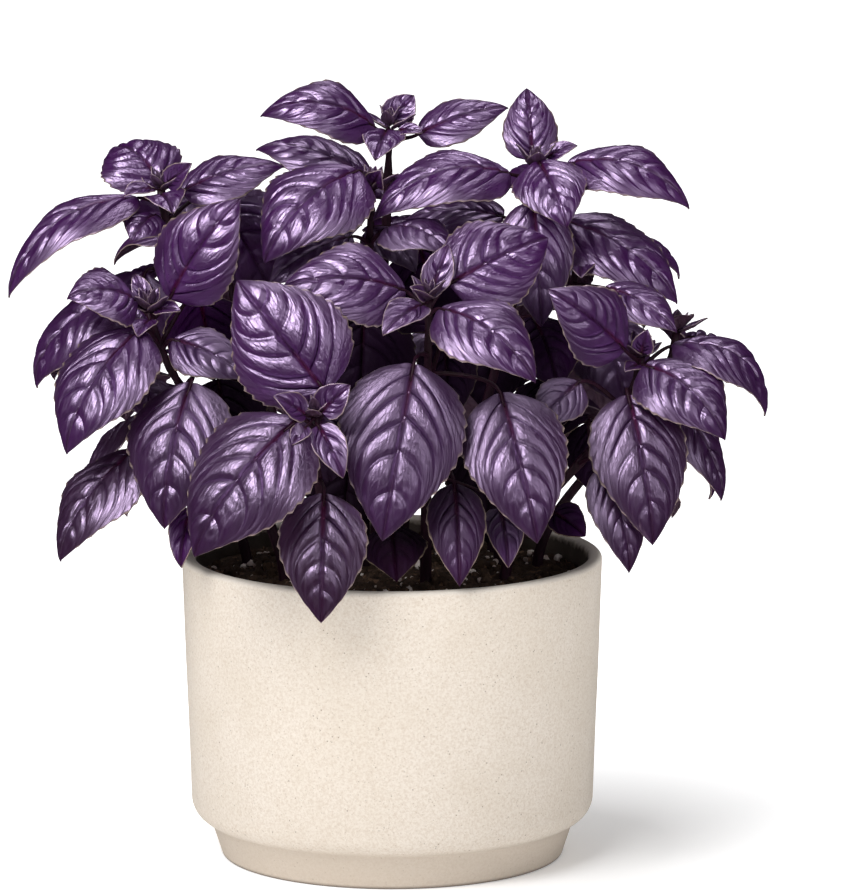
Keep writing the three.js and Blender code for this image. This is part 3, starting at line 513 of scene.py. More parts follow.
class Skin:
    """Collects closed shells, with the numbers at each vertex that the leaf material reads."""

    FIELDS = ("blade", "tone", "part")

    def __init__(self):
        self.vertices = []
        self.faces = {3: [], 4: []}
        self.kinds = {3: [], 4: []}
        self.fields = {name: [] for name in self.FIELDS}
        self.count = 0

    def add(self, vertices, triangles, quads, kind=0, **fields):
        for size, faces in ((3, triangles), (4, quads)):
            faces = np.asarray(faces, int).reshape(-1, size)
            self.faces[size].append(faces + self.count)
            self.kinds[size].append(np.full(len(faces), kind))
        for name in self.FIELDS:
            value = np.asarray(fields.get(name, (0, 0, 0)), float)
            self.fields[name].append(np.broadcast_to(value, (len(vertices), 3)))
        self.vertices.append(vertices)
        self.count += len(vertices)

    def piece(self, name, materials, replaced=()):
        """Makes the mesh an object in metres that rides on the body and stands for some nodes."""
        mesh = bpy.data.meshes.new(name)
        faces = [face for size in (3, 4) for face in np.concatenate(self.faces[size]).tolist()]
        mesh.from_pydata(np.concatenate(self.vertices) * MM, [], faces)
        mesh.polygons.foreach_set("material_index", np.concatenate([*self.kinds[3], *self.kinds[4]]))
        mesh.shade_smooth()
        for field, values in self.fields.items():
            layer = mesh.attributes.new(field, "FLOAT_VECTOR", "POINT")
            layer.data.foreach_set("vector", np.concatenate(values).ravel())
        mesh.validate()
        for material in materials:
            mesh.materials.append(material)
        made = bpy.data.objects.new(name, mesh)
        bpy.context.scene.collection.objects.link(made)
        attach(made, BODY)
        if replaced:
            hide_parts(*replaced)


def lattice(rows, columns, closed=False):
    """The quads of a grid of vertices that is rows by columns, each row closed on itself if asked."""
    index = np.arange(rows * columns).reshape(rows, columns)
    if closed:
        index = np.hstack([index, index[:, :1]])
    corners = (index[:-1, :-1], index[:-1, 1:], index[1:, 1:], index[1:, :-1])
    return np.stack(corners, axis=-1).reshape(-1, 4)


def spokes(middle, first, after):
    """Triangles from one vertex to each pair of neighbours."""
    return np.stack([np.full(len(first), middle), first, after], axis=-1)


def add_tube(skin, points, radii, across, sides, squareness=0.0):
    """A closed tube along points, its section round or somewhat square."""
    ways = unit(np.gradient(points, axis=0))
    angles = np.arange(sides) * 2 * math.pi / sides
    reach = 1 + squareness * np.cos(4 * angles - math.pi)
    rings = []
    for point, radius, way in zip(points, radii, ways):
        across = unit(across - way * (across @ way))
        beside = np.cross(way, across)
        section = np.outer(np.cos(angles), across) + np.outer(np.sin(angles), beside)
        rings.append(point + radius * reach[:, None] * section)
    foot = np.arange(sides)
    top = foot + (len(points) - 1) * sides
    caps = np.concatenate([spokes(foot[0], foot[2:], foot[1:-1]), spokes(top[0], top[1:-1], top[2:])])
    skin.add(np.concatenate(rings), caps, lattice(len(points), sides, closed=True), STALK)


def turned(profile, sides, bottom, top):
    """A profile turned about Z, closed by a fan at the axis at either end."""
    angles = np.arange(sides) * 2 * math.pi / sides
    radius, height = profile[:, :1], profile[:, 1:]
    rings = np.stack([radius * np.cos(angles), radius * np.sin(angles), height + 0 * angles], axis=-1)
    vertices = np.concatenate([rings.reshape(-1, 3), [[0, 0, bottom], [0, 0, top]]])
    return vertices, *capped_rings(len(profile), sides)


def capped_rings(rings, sides):
    """The faces of rings of vertices whose two ends are closed by fans from the last two vertices."""
    count = rings * sides
    ring = np.arange(sides)
    after = (ring + 1) % sides
    last = count - sides
    fans = [spokes(count, after, ring), spokes(count + 1, last + ring, last + after)]
    return np.concatenate(fans), lattice(rings, sides, closed=True)


# Leaves

def outline_share(u):
    """The blade's half width at each share of its length, as a share of the widest."""
    before = np.clip((WIDEST_AT - u) / WIDEST_AT, 0, 1)
    beyond = np.clip((u - WIDEST_AT) / (1 - WIDEST_AT), 0, 1)
    return (1 - before**BASE_SQUARENESS) ** BASE_ROUNDNESS - beyond**TIP_FULLNESS


def row_places(rows):
    """Where each row of the grid leaves the midrib, and where it meets the edge further on."""
    edge = np.linspace(0, 1, 1001)
    start = edge**VEIN_SWEEP
    spread = ROW_SHARE_OF_MIDRIB * start + (1 - ROW_SHARE_OF_MIDRIB) * edge
    met = np.interp(np.linspace(0, 1, rows + 1), spread, edge)
    return met**VEIN_SWEEP, met


def toothed(met, teeth, offset):
    """Moves the rows' ends onto the teeth's peaks and notches, and gives how far each stands out."""
    step = (TOOTH_END - TOOTH_START) / teeth
    places = [(0, 0, 0)]
    for tooth in range(teeth):
        notch = TOOTH_START + (tooth + offset) * step
        for place, height in ((notch, -1), (notch + TOOTH_PEAK * step, 1)):
            row = max(places[-1][0] + 1, int(np.argmin(np.abs(met - place))))
            if row < len(met) - 1 and place < 1:
                places.append((row, place, height))
    places.append((len(met) - 1, 1, 0))
    rows, ends, heights = np.array(places, float).T
    order = np.arange(len(met))
    return np.interp(order, rows, ends), np.interp(order, rows, heights)


def vein_rows(starts, places, rng):
    """The rows that hold the side veins, each at most one row off, at least two rows apart."""
    rows = [0]
    for start in places:
        nearest = int(np.argmin(np.abs(starts - start))) + int(rng.integers(-1, 2))
        rows.append(max(rows[-1] + 2, nearest))
    return [row for row in rows[1:] if row < len(starts) - 2]


def lobes(count, veins, rng):
    """For each row: how high the blade is puffed there, which lobe it is in, how near a vein is."""
    order = np.arange(count)
    stops = [0, *veins, count - 1]
    phase = np.interp(order, stops, np.arange(len(stops)))
    lobe = np.minimum(phase.astype(int), len(stops) - 2)
    within = np.clip(phase - lobe, 0, 1)
    heights = rng.uniform(*LOBE_HEIGHTS, len(stops))
    heights[0] *= FIRST_LOBE_SHARE
    puffed = np.sin(math.pi * within**LOBE_LEAN) ** LOBE_FULLNESS * heights[lobe]
    gaps = np.abs(order[:, None] - np.array(veins)[None, :])
    near = np.clip(1 - gaps / VEIN_HALF_ROWS, 0, 1) * rng.uniform(*VEIN_STRENGTHS, len(veins))
    return puffed, lobe + within, np.minimum(near.max(axis=1), 1)


def grid_normals(places, fallback):
    """The normal at each vertex of a grid, and the fallback where the grid has no width."""
    normals = np.cross(np.gradient(places, axis=1), np.gradient(places, axis=0))
    lengths = np.linalg.norm(normals, axis=-1, keepdims=True)
    least = 1e-6
    return np.where(lengths > least, normals / np.maximum(lengths, least), fallback)


def blade_size(width):
    return LARGE if width >= LARGE_BLADE_WIDTH else SMALL


def leaf_frame(base, tip, face, arch):
    """The midrib's three points, and the direction across the blade."""
    base, tip = np.array(base, float), np.array(tip, float)
    along = unit(tip - base)
    up = np.array(face, float)
    up = unit(up - along * (up @ along))
    crown = (base + tip) / 2 + 2 * arch * up
    return np.array([base, crown, tip]), np.cross(along, up)


def columns_across(columns):
    """The places of the grid's columns from edge to edge, -1 to 1, and where the margin begins."""
    reach = np.linspace(0, 1, columns + 1)
    reach = reach * (COLUMNS_AT_MIDRIB + (1 - COLUMNS_AT_MIDRIB) * reach)
    reach[-2] = 1 - MARGIN_COLUMN / columns
    return np.concatenate([-reach[::-1], reach[1:]]), reach[-2]


def add_blade(skin, midrib, side, width, phase, age, rng, kind):
    """One leaf's blade: a closed shell with teeth, a sunken midrib, side veins and puffed lobes."""
    length = np.linalg.norm(midrib[2] - midrib[0])
    size = blade_size(width)
    rows = int(np.clip(round(length / size["row_step"]), *ROWS))
    columns = int(np.clip(round(width / 2 / size["column_step"]), *COLUMNS))
    teeth = int(np.clip(round(width / WIDTH_PER_TOOTH), *TEETH))
    starts, met = row_places(rows)
    across, margin = columns_across(columns)
    out = np.abs(across)

    halves = []
    for shift in (0.0, size["tooth_offset"]):
        end, stand = toothed(met, teeth, shift)
        veins = vein_rows(starts, size["vein_starts"], rng)
        halves.append((end, stand, *lobes(rows + 1, veins, rng)))
    end, stand, puff, lobe, veined = (
        np.where(across < 0, left[:, None], right[:, None]) for left, right in zip(*halves)
    )

    outward, onward = VEIN_WOBBLE_WAVES
    wobble = VEIN_WOBBLE * np.sin(outward * out + onward * lobe + phase)
    wobble = wobble * np.sin(math.pi * out) * np.sin(math.pi * end)
    sweep = VEIN_SLANT * out + (1 - VEIN_SLANT) * out**VEIN_CURVE
    u = np.clip(starts[:, None] + (end - starts[:, None]) * sweep + wobble, 0, 1)
    half = width / 2 * outline_share(u)
    spread = half * across * (1 + TOOTH_DEPTH * stand * out**TOOTH_ROOT)

    wave = EDGE_WAVE * np.sin(2 * math.pi * EDGE_WAVE_TURNS * u + phase + np.sign(across))
    lift = half * (wave * out - size["edge_drop"] * ((1 + CAMBER) * out**2 - CAMBER * out))
    unfaded = smooth(out, *VEINS_FADE)
    inner = np.clip(out / LOBE_START, 0, 1) ** LOBE_STEEPNESS * unfaded
    relief = width * size["relief"]
    lift += LOBE_HEIGHT * relief * puff * inner * (1 - LOBE_FADING * u)
    puckers = rough_field(rng, PUCKER_WAVES, *PUCKER_LENGTHS)
    lift += PUCKER_HEIGHT * relief * puckers(u * length, spread) * inner
    lift -= CREASE_DEPTH * relief * veined * inner
    groove = np.exp(-((spread / MIDRIB_REACH) ** 2))
    lift -= MIDRIB_DEPTH * width * (1 - MIDRIB_FADING * u) * groove
    lift -= TIP_DROOP * width * np.clip((u - TIP_DROOP_START) / (1 - TIP_DROOP_START), 0, 1) ** 2

    normal = unit(np.cross(side, bezier_way(midrib, u)))
    upper = bezier(midrib, u) + side * spread[..., None] + normal * lift[..., None]
    on_rib = np.clip(1 - np.abs(spread) / RIB_HALF_WIDTH, 0, 1)
    dark = 1 - DARK_FADING * u
    near = np.maximum(veined * unfaded * dark, on_rib * dark)
    thickness = EDGE_THICKNESS + (BLADE_THICKNESS - EDGE_THICKNESS) * (1 - out**EDGE_THINNING)
    ribs = RIB_THICKNESS * on_rib * (1 - RIB_FADING * u) + VEIN_THICKNESS * veined * unfaded * dark
    thickness = thickness + ribs * min(1, width / RIB_FULL_WIDTH)
    lower = upper - grid_normals(upper, normal) * thickness[..., None]

    edge = np.clip((out - margin) / (1 - margin), 0, 1)
    base = np.clip(1 - u / ROSE_LENGTH, 0, 1)
    along = rng.uniform(0, PATTERN_RANGE) + np.linspace(0, length, rows + 1)[:, None]
    blade, tone = stacked(along, spread, out), stacked(age, near, edge)
    # The third number of each part is how deep in the bush the face is, where the material paints shade.
    parts = [stacked(under, base, inside_bush(face)) for under, face in enumerate((upper, lower))]
    skin.add(
        shell(upper, lower), *blade_faces(rows - 1, 2 * columns + 1), kind,
        blade=shell(blade, blade), tone=shell(tone, tone), part=shell(*parts),
    )


def stacked(*numbers):
    """Numbers and grids of numbers as one grid of vectors."""
    return np.stack(np.broadcast_arrays(*numbers), axis=-1)


def shell(upper, lower):
    """Two grids as the rows of one shell: all rows but their ends, and then one place for each end."""
    middle = upper.shape[1] // 2
    body = [grid[1:-1].reshape(-1, 3) for grid in (upper, lower)]
    ends = [grid[row, middle] for grid in (upper, lower) for row in (0, -1)]
    return np.concatenate([*body, ends])


def blade_faces(rows, columns):
    """The triangles and quads of a blade: upper and lower grid, walls, and a fan at base and tip."""
    cells = rows * columns
    index = np.arange(cells).reshape(rows, columns)
    base_up, tip_up, base_low, tip_low = 2 * cells + np.arange(4)
    first, last = index[0], index[-1]
    triangles = np.concatenate([
        spokes(base_up, first[1:], first[:-1]), spokes(tip_up, last[:-1], last[1:]),
        spokes(base_low, first[:-1] + cells, first[1:] + cells),
        spokes(tip_low, last[1:] + cells, last[:-1] + cells),
    ])
    upper = lattice(rows, columns)
    walls = []
    for column, turn in ((0, 1), (-1, -1)):
        line = np.concatenate([[base_up], index[:, column], [tip_up]])
        low = np.concatenate([[base_low], index[:, column] + cells, [tip_low]])
        walls.append(np.stack([line[:-1], line[1:], low[1:], low[:-1]][::turn], axis=-1))
    return triangles, np.concatenate([upper, upper[:, ::-1] + cells, *walls])


def add_stalk(skin, curve, at, midrib, side, width):
    """The leaf's stalk, from the stem into the underside of the blade."""
    thick = blade_size(width)["stalk_radius"]
    start = bezier(curve, at)
    way = bezier_way(midrib, 0)
    bend = midrib[0] - way * STALK_BEND * np.linalg.norm(midrib[0] - start)
    route = bezier([start, bend, midrib[0]], np.linspace(0, 1, STALK_RINGS))
    inner = bezier(midrib, np.array([STALK_INTO_BLADE, 2 * STALK_INTO_BLADE]))
    inner = inner - np.cross(side, way) * (0.5 * thick)
    points = np.concatenate([route, inner])
    stops, shares = (0, STALK_RINGS - 1, len(points) - 1), (1, STALK_TIP_SHARE, STALK_END_SHARE)
    add_tube(skin, points, thick * np.interp(np.arange(len(points)), stops, shares), side, STALK_SIDES)


def add_bud(skin, top, way, rng):
    """Crossed pairs of the smallest leaves, folded upward round the growing tip."""
    helper = unit(np.cross(way, (0.3, 1, 0.1)))
    other = np.cross(way, helper)
    turn = rng.uniform(0, math.pi)
    for pair in range(BUD_PAIRS):
        share = pair / (BUD_PAIRS - 1)
        length = np.interp(share, (0, 1), BUD_LENGTH) * rng.uniform(*BUD_LENGTH_SHARES)
        lean = math.radians(np.interp(share, (0, 1), BUD_LEAN_DEGREES))
        for half in (0, 1):
            angle = turn + pair * math.pi / 2 + half * math.pi
            outward = math.cos(angle) * helper + math.sin(angle) * other
            base = top + way * (BUD_START + BUD_PAIR_STEP * pair) + outward * BUD_START
            tip = base + length * (math.cos(lean) * way + math.sin(lean) * outward)
            face = math.sin(lean) * way - math.cos(lean) * outward
            midrib, side = leaf_frame(base, tip, face, BUD_ARCH * length)
            add_blade(skin, midrib, side, BUD_WIDTH_SHARE * length, angle, 0.0, rng, FRESH)


def inside_bush(places):
    """1 in the middle of the bush and 0 at its outside."""
    away = np.linalg.norm((places - BUSH_MIDDLE) / BUSH_REACH, axis=-1)
    return 1 - smooth(away, *BUSH_LIT)


def leaf_age(midrib, width):
    """0 for the youngest leaves at the top, 1 for the oldest near the soil."""
    height = (midrib[0][2] + midrib[2][2]) / 2
    return float(np.clip((YOUNG_HEIGHT - height) / AGEING_HEIGHT, 0, 1) * min(1, width / AGEING_WIDTH))


def leaf_kind(middle, width):
    """Which material the blade has, by where the middle of its midrib is."""
    if inside_bush(middle) > SHADED_FROM:
        return SHADED
    return LOW if middle[2] < LOW_HEIGHT and width < LOW_WIDTH else FRESH


def foliage(name, stem, seed, materials):
    """A leafy stem: the stem, its stalks and blades, and the bud at its tip."""
    root, bow, top, radius, leaves = stem
    rng = np.random.default_rng(seed)
    skin = Skin()
    start = np.array([*root, STEM_START_HEIGHT], float)
    rise = STEM_UPRIGHT_SHARE * (top[2] - STEM_START_HEIGHT)
    curve = np.array([start, start + (0, 0, rise), bow, top], float)
    share = np.linspace(0, 1, STEM_RINGS)
    points = np.concatenate([[(*root, STEM_FOOT_HEIGHT)], bezier(curve, share)])
    radii = np.interp(share, (0, 1), (radius, STEM_TIP_RADIUS))
    for at in {leaf[0] for leaf in leaves}:
        radii = radii + NODE_SWELLING * np.exp(-(((share - at) / NODE_LENGTH) ** 2))
    radii = np.concatenate([[radius], radii])
    add_tube(skin, points, radii, np.array([1.0, 0, 0]), STEM_SIDES, STEM_SQUARENESS)
    for phase, (at, base, tip, width, face, arch) in enumerate(leaves):
        midrib, side = leaf_frame(base, tip, face, arch)
        add_stalk(skin, curve, at, midrib, side, width)
        kind = leaf_kind(midrib[1], width)
        add_blade(skin, midrib, side, width, phase, leaf_age(midrib, width), rng, kind)
    add_bud(skin, curve[3], bezier_way(curve, 1.0), rng)
    skin.piece(f"foliage_{name}", materials, [f"leafy_stem_{name}"])


# The pot

def arc(x, y, radius, start, end, steps):
    angles = np.radians(np.linspace(start, end, steps + 1))
    return np.stack([x + radius * np.cos(angles), y + radius * np.sin(angles)], axis=-1)


def inner_radius(height):
    share = (height - FLOOR_THICKNESS) / (POT_HEIGHT - FLOOR_THICKNESS)
    return FLOOR_RADIUS + (RIM_RADIUS - WALL_THICKNESS - FLOOR_RADIUS) * share


def run(start, end):
    """Points along a straight stretch of a profile, a wall step apart, without its ends."""
    start, end = np.array(start, float), np.array(end, float)
    steps = max(2, int(np.linalg.norm(end - start) / WALL_STEP))
    return start + (end - start) * (np.arange(1, steps) / steps)[:, None]


def pot_profile():
    """From the middle of the underside round the outside and over the rim to the middle of the floor."""
    rounding, rim = RIM_ROUNDING, POT_HEIGHT - RIM_ROUNDING
    foot_edge = arc(
        FOOT_UNDERSIDE_RADIUS - FOOT_EDGE_ROUNDING, FOOT_EDGE_ROUNDING, FOOT_EDGE_ROUNDING,
        -90, -15, FOOT_EDGE_STEPS,
    )
    chamfer = arc(
        CHAMFER_RADIUS - CHAMFER_HEIGHT, FOOT_HEIGHT + CHAMFER_HEIGHT, CHAMFER_HEIGHT,
        CHAMFER_START_DEGREES, 0, CHAMFER_STEPS,
    )
    outer = arc(RIM_RADIUS - rounding, rim, rounding, 0, 90, RIM_STEPS)
    inner = arc(RIM_RADIUS - WALL_THICKNESS + rounding, rim, rounding, 90, 180, RIM_STEPS)
    foot_top = np.array([[FOOT_TOP_RADIUS, FOOT_HEIGHT]])
    floor_edge = np.array([[FLOOR_RADIUS, FLOOR_THICKNESS]])
    return np.concatenate([
        run((0, 0), foot_edge[0]), foot_edge, run(foot_edge[-1], foot_top[0]), foot_top,
        chamfer, run(chamfer[-1], outer[0]), outer, inner,
        run(inner[-1], floor_edge[0]), floor_edge, run(floor_edge[0], (0, FLOOR_THICKNESS)),
    ])


def pot(material):
    """The turned pot, a little out of round and with faint rings from the wheel."""
    skin = Skin()
    vertices, triangles, quads = turned(pot_profile(), POT_SIDES, 0, FLOOR_THICKNESS)
    angle = np.arctan2(vertices[:, 1], vertices[:, 0])
    radius = np.hypot(vertices[:, 0], vertices[:, 1])
    height = vertices[:, 2]
    uneven = np.sin(2 * angle + 0.6) + 0.5 * np.sin(3 * angle + height * 0.03) + 0.4 * np.sin(height * 0.11)
    swell = 1 + POT_UNEVENNESS * uneven * np.clip(height / FOOT_HEIGHT, 0, 1) / np.maximum(radius, 1)
    vertices[:, :2] *= swell[:, None]
    skin.add(vertices, triangles, quads)
    skin.piece("stoneware_pot", [material], ["pot"])


# The soil

def soil_radius(height):
    return inner_radius(height) - SOIL_GAP


def soil_top(x, y):
    """The height of the soil's surface, without its crumbs."""
    share = np.minimum(1, np.hypot(x, y) / soil_radius(SOIL_EDGE_HEIGHT))
    bumps = np.sin(x * 0.21 + 1) * np.cos(y * 0.17) + 0.6 * np.sin((x - y) * 0.33)
    return SOIL_EDGE_HEIGHT + (SOIL_MOUND + SOIL_RELIEF * bumps) * (1 - share**2)


def soil(material):
    """The soil's surface with its crumbs, closed by a skirt and an underside inside the pot."""
    rng = np.random.default_rng(SOIL_SEED)
    skin = Skin()
    edge = soil_radius(SOIL_EDGE_HEIGHT)
    low = SOIL_EDGE_HEIGHT - SOIL_SKIRT
    rings = edge * np.sqrt(np.linspace(0.0002, 1, SOIL_RINGS))[::-1]
    profile = np.array([[soil_radius(low), low], *([r, SOIL_EDGE_HEIGHT] for r in rings)])
    vertices, triangles, quads = turned(profile, SOIL_SIDES, low, SOIL_EDGE_HEIGHT)
    lumps = rough_field(rng, *SOIL_LUMPS)
    crumble = rough_field(rng, *SOIL_CRUMBLE)
    x, y, z = vertices.T
    calm = 0.25 + 0.75 * np.clip((edge - np.hypot(x, y)) / SOIL_EDGE_CALM, 0, 1)
    relief = SOIL_ROUGHNESS * (lumps(x, y) + 0.7 * np.abs(crumble(x, y))) * calm
    vertices[:, 2] = np.where(z > low + 1, soil_top(x, y) + relief, z)
    skin.add(vertices, triangles, quads)
    add_grains(skin, rng, *CRUMBS)
    skin.piece("soil_surface", [material], ["soil"])


def perlite(material):
    rng = np.random.default_rng(PERLITE_SEED)
    skin = Skin()
    add_grains(skin, rng, *PERLITE_GRAINS)
    skin.piece("perlite_grains", [material])


def pebble(rng, radius, stretch):
    """A lump of a few dozen faces: a ball that is squashed and dented at random."""
    polar = np.linspace(0, math.pi, GRAIN_RINGS + 2)[1:-1, None]
    turn = np.arange(GRAIN_SIDES) * 2 * math.pi / GRAIN_SIDES
    ball = stacked(np.sin(polar) * np.cos(turn), np.sin(polar) * np.sin(turn), np.cos(polar))
    ball = np.concatenate([ball.reshape(-1, 3), [[0, 0, 1], [0, 0, -1]]])
    ball = ball * rng.uniform(*GRAIN_DENTS, (len(ball), 1)) * rng.uniform(1 / stretch, stretch, 3)
    spin = np.linalg.qr(rng.normal(size=(3, 3)))[0]
    if np.linalg.det(spin) < 0:
        spin[:, 0] *= -1
    triangles, quads = capped_rings(GRAIN_RINGS, GRAIN_SIDES)
    return ball @ spin.T * radius, triangles[:, ::-1], quads[:, ::-1]


def add_grains(skin, rng, count, radii, stretch):
    """Grains strewn over the soil, half sunk into it."""
    edge = soil_radius(SOIL_EDGE_HEIGHT) - radii[1] - 0.5
    for _ in range(count):
        away = edge * math.sqrt(rng.uniform(0, 1))
        angle = rng.uniform(0, 2 * math.pi)
        radius = rng.uniform(*radii) if rng.uniform() < LARGE_GRAIN_SHARE else radii[0]
        x, y = away * math.cos(angle), away * math.sin(angle)
        shape, triangles, quads = pebble(rng, radius, stretch)
        height = float(soil_top(x, y)) + radius * rng.uniform(*GRAIN_RISE)
        skin.add(shape + (x, y, height), triangles, quads)


# Materials

class Surface:
    """A node material around one Principled shader. Values may be numbers, colours or other sockets."""

    def __init__(self, name, **shader):
        self.material = bpy.data.materials.new(name)
        self.material.use_nodes = True
        self.tree = self.material.node_tree
        self.shader = self.tree.nodes["Principled BSDF"]
        for key, value in shader.items():
            self.shader.inputs[key.replace("_", " ")].default_value = value

    def feed(self, socket, value):
        if isinstance(value, bpy.types.NodeSocket):
            self.tree.links.new(value, socket)
        elif isinstance(value, tuple) and len(value) == 3 and socket.type == "RGBA":
            socket.default_value = (*value, 1)
        else:
            socket.default_value = value

    def node(self, kind, *values, **settings):
        """Adds a node, sets its properties, and feeds its inputs in order."""
        made = self.tree.nodes.new(kind)
        for key, value in settings.items():
            setattr(made, key, value)
        for socket, value in zip(made.inputs, values):
            self.feed(socket, value)
        return made

    def place(self):
        """Millimetres in the object's own space."""
        coordinates = self.tree.nodes.new("ShaderNodeTexCoord")
        scaled = self.node("ShaderNodeVectorMath", coordinates.outputs["Object"], operation="SCALE")
        scaled.inputs["Scale"].default_value = 1 / MM
        return scaled.outputs[0]

    def away(self, vector, middle=(0, 0, 0)):
        return self.node("ShaderNodeVectorMath", vector, middle, operation="DISTANCE").outputs["Value"]

    def stored(self, name):
        """A stored vector, and its three numbers."""
        found = self.tree.nodes.new("ShaderNodeAttribute")
        found.attribute_name = name
        parts = self.node("ShaderNodeSeparateXYZ", found.outputs["Vector"])
        return found.outputs["Vector"], *parts.outputs

    def stretched(self, vector, scale):
        return self.node("ShaderNodeVectorMath", vector, scale, operation="MULTIPLY").outputs[0]

    def noise(self, vector, scale, detail=2.0, roughness=0.5, distortion=0.0):
        made = self.node("ShaderNodeTexNoise", vector)
        settings = {"Scale": scale, "Detail": detail, "Roughness": roughness, "Distortion": distortion}
        for key, value in settings.items():
            made.inputs[key].default_value = value
        return made.outputs["Fac"]

    def cells(self, vector, scale, feature="F1"):
        made = self.node("ShaderNodeTexVoronoi", vector, feature=feature)
        made.inputs["Scale"].default_value = scale
        return made.outputs

    def between(self, value, low, high, to_low=0.0, to_high=1.0):
        """The value's way from low to high, as a number from to_low to to_high."""
        return self.node("ShaderNodeMapRange", value, low, high, to_low, to_high).outputs[0]

    def math(self, operation, *values):
        return self.node("ShaderNodeMath", *values, operation=operation).outputs[0]

    def times(self, first, second):
        return self.math("MULTIPLY", first, second)

    def mix(self, share, first, second):
        made = self.tree.nodes.new("ShaderNodeMix")
        made.data_type = "RGBA"
        for socket, value in zip((made.inputs[0], made.inputs[6], made.inputs[7]), (share, first, second)):
            self.feed(socket, value)
        return made.outputs[2]

    def layered(self, colour, layers):
        """The colour with others over it, each by the share that it covers and its strength."""
        for share, strength, layer in layers:
            colour = self.mix(self.times(share, strength), colour, layer)
        return colour

    def bumps(self, *layers):
        """Bumps over each other, each by its height, its strength and its depth in millimetres."""
        normal = None
        for height, strength, depth in layers:
            made = self.tree.nodes.new("ShaderNodeBump")
            made.invert = strength < 0
            made.inputs["Strength"].default_value = abs(strength)
            made.inputs["Distance"].default_value = depth * MM
            self.feed(made.inputs["Height"], height)
            if normal is not None:
                self.feed(made.inputs["Normal"], normal)
            normal = made.outputs[0]
        return normal

    def finish(self, colour, roughness, normal=None):
        """Feeds the shader and gives the material."""
        values = {"Base Color": colour, "Roughness": roughness, "Normal": normal}
        for key, value in values.items():
            if value is not None:
                self.feed(self.shader.inputs[key], value)
        return self.material


def leaf_material(name, ior, level):
    """Purple leaf: violet when young, browner when old, pale at the edge; painted shade in creases and
    bush.
    """
    s = Surface(name, IOR=ior, Specular_IOR_Level=level, Specular_Tint=LEAF_SHEEN)
    pattern, _, spread, out = s.stored("blade")
    _, age, near, edge = s.stored("tone")
    _, under, base, shade = s.stored("part")
    place = s.place()
    mottle = s.noise(place, 0.09, 3.0, 0.6)
    fine = s.noise(s.stretched(pattern, (0.45, 0.4, 0)), 1.0, 3.0, 0.6, 0.6)
    wrinkles = s.noise(s.stretched(pattern, (1.0, 0.55, 0)), 1.0, 2.0, 0.6, 0.4)
    net = s.cells(s.stretched(pattern, (0.3, 0.5, 0)), 1.0, "DISTANCE_TO_EDGE")["Distance"]
    veinlets = s.between(net, 0.0, 0.2)
    grain = s.noise(place, 2.2, 3.0, 0.65)
    crease = s.math("POWER", near, 3.6)
    rib = s.between(s.math("ABSOLUTE", spread), 0.1, 0.9, 1.0, 0.0)
    rose = s.times(rib, s.math("POWER", base, 0.6))
    band = s.between(out, 0.72, 0.95)
    below = s.mix(s.times(near, 0.6), LEAF_UNDERSIDE, LEAF_UNDER_VEIN)
    colour = s.layered(s.mix(age, YOUNG_LEAF, GROWN_LEAF), (
        (s.between(age, 0.55, 1.0), 1.0, OLD_LEAF),
        (s.between(mottle, 0.35, 0.7), 0.45, LEAF_BLOTCH),
        (s.between(fine, 0.4, 0.75), 0.3, LEAF_FLECK),
        # painted shade in the creases
        (crease, 0.9, CREASE_PAINTED_SHADE),
        (rib, 0.6, LEAF_MIDRIB),
        (rose, 0.85, LEAF_ROSE),
        (band, 0.35, LEAF_BAND),
        (s.math("POWER", edge, 1.5), 0.9, LEAF_MARGIN),
        (under, 1.0, below),
        # painted shade deep inside the bush
        (shade, 0.85, LEAF_PAINTED_SHADE),
    ))
    rough = s.between(grain, 0.3, 0.7, 0.25, 0.35)
    between_veinlets = s.math("SUBTRACT", 1.0, veinlets)
    for share, extra in ((age, 0.06), (band, 0.05), (between_veinlets, 0.12), (shade, 0.3), (under, 0.2)):
        rough = s.math("ADD", rough, s.times(share, extra))
    return s.finish(colour, rough, s.bumps(
        (crease, -1.0, 1.4), (rib, -0.5, 0.6), (veinlets, 0.22, 0.3),
        (fine, 0.22, 0.7), (wrinkles, 0.18, 0.4), (grain, 0.2, 0.12),
    ))


def stalk_material():
    """Dark maroon stems and stalks with fine lengthwise streaks."""
    s = Surface("purple_stalk", IOR=1.4, Specular_IOR_Level=0.4)
    place = s.place()
    streak = s.noise(s.stretched(place, (1.0, 1.0, 0.12)), 0.9, 3.0, 0.6)
    colour = s.mix(s.between(streak, 0.3, 0.7), *STALK_COLOURS)
    colour = s.mix(s.between(s.noise(place, 0.12, 2.0), 0.45, 0.75, 0.0, 0.5), colour, STALK_MOTTLE)
    return s.finish(colour, s.between(streak, 0.3, 0.7, 0.42, 0.58), s.bumps((streak, 0.4, 0.2)))


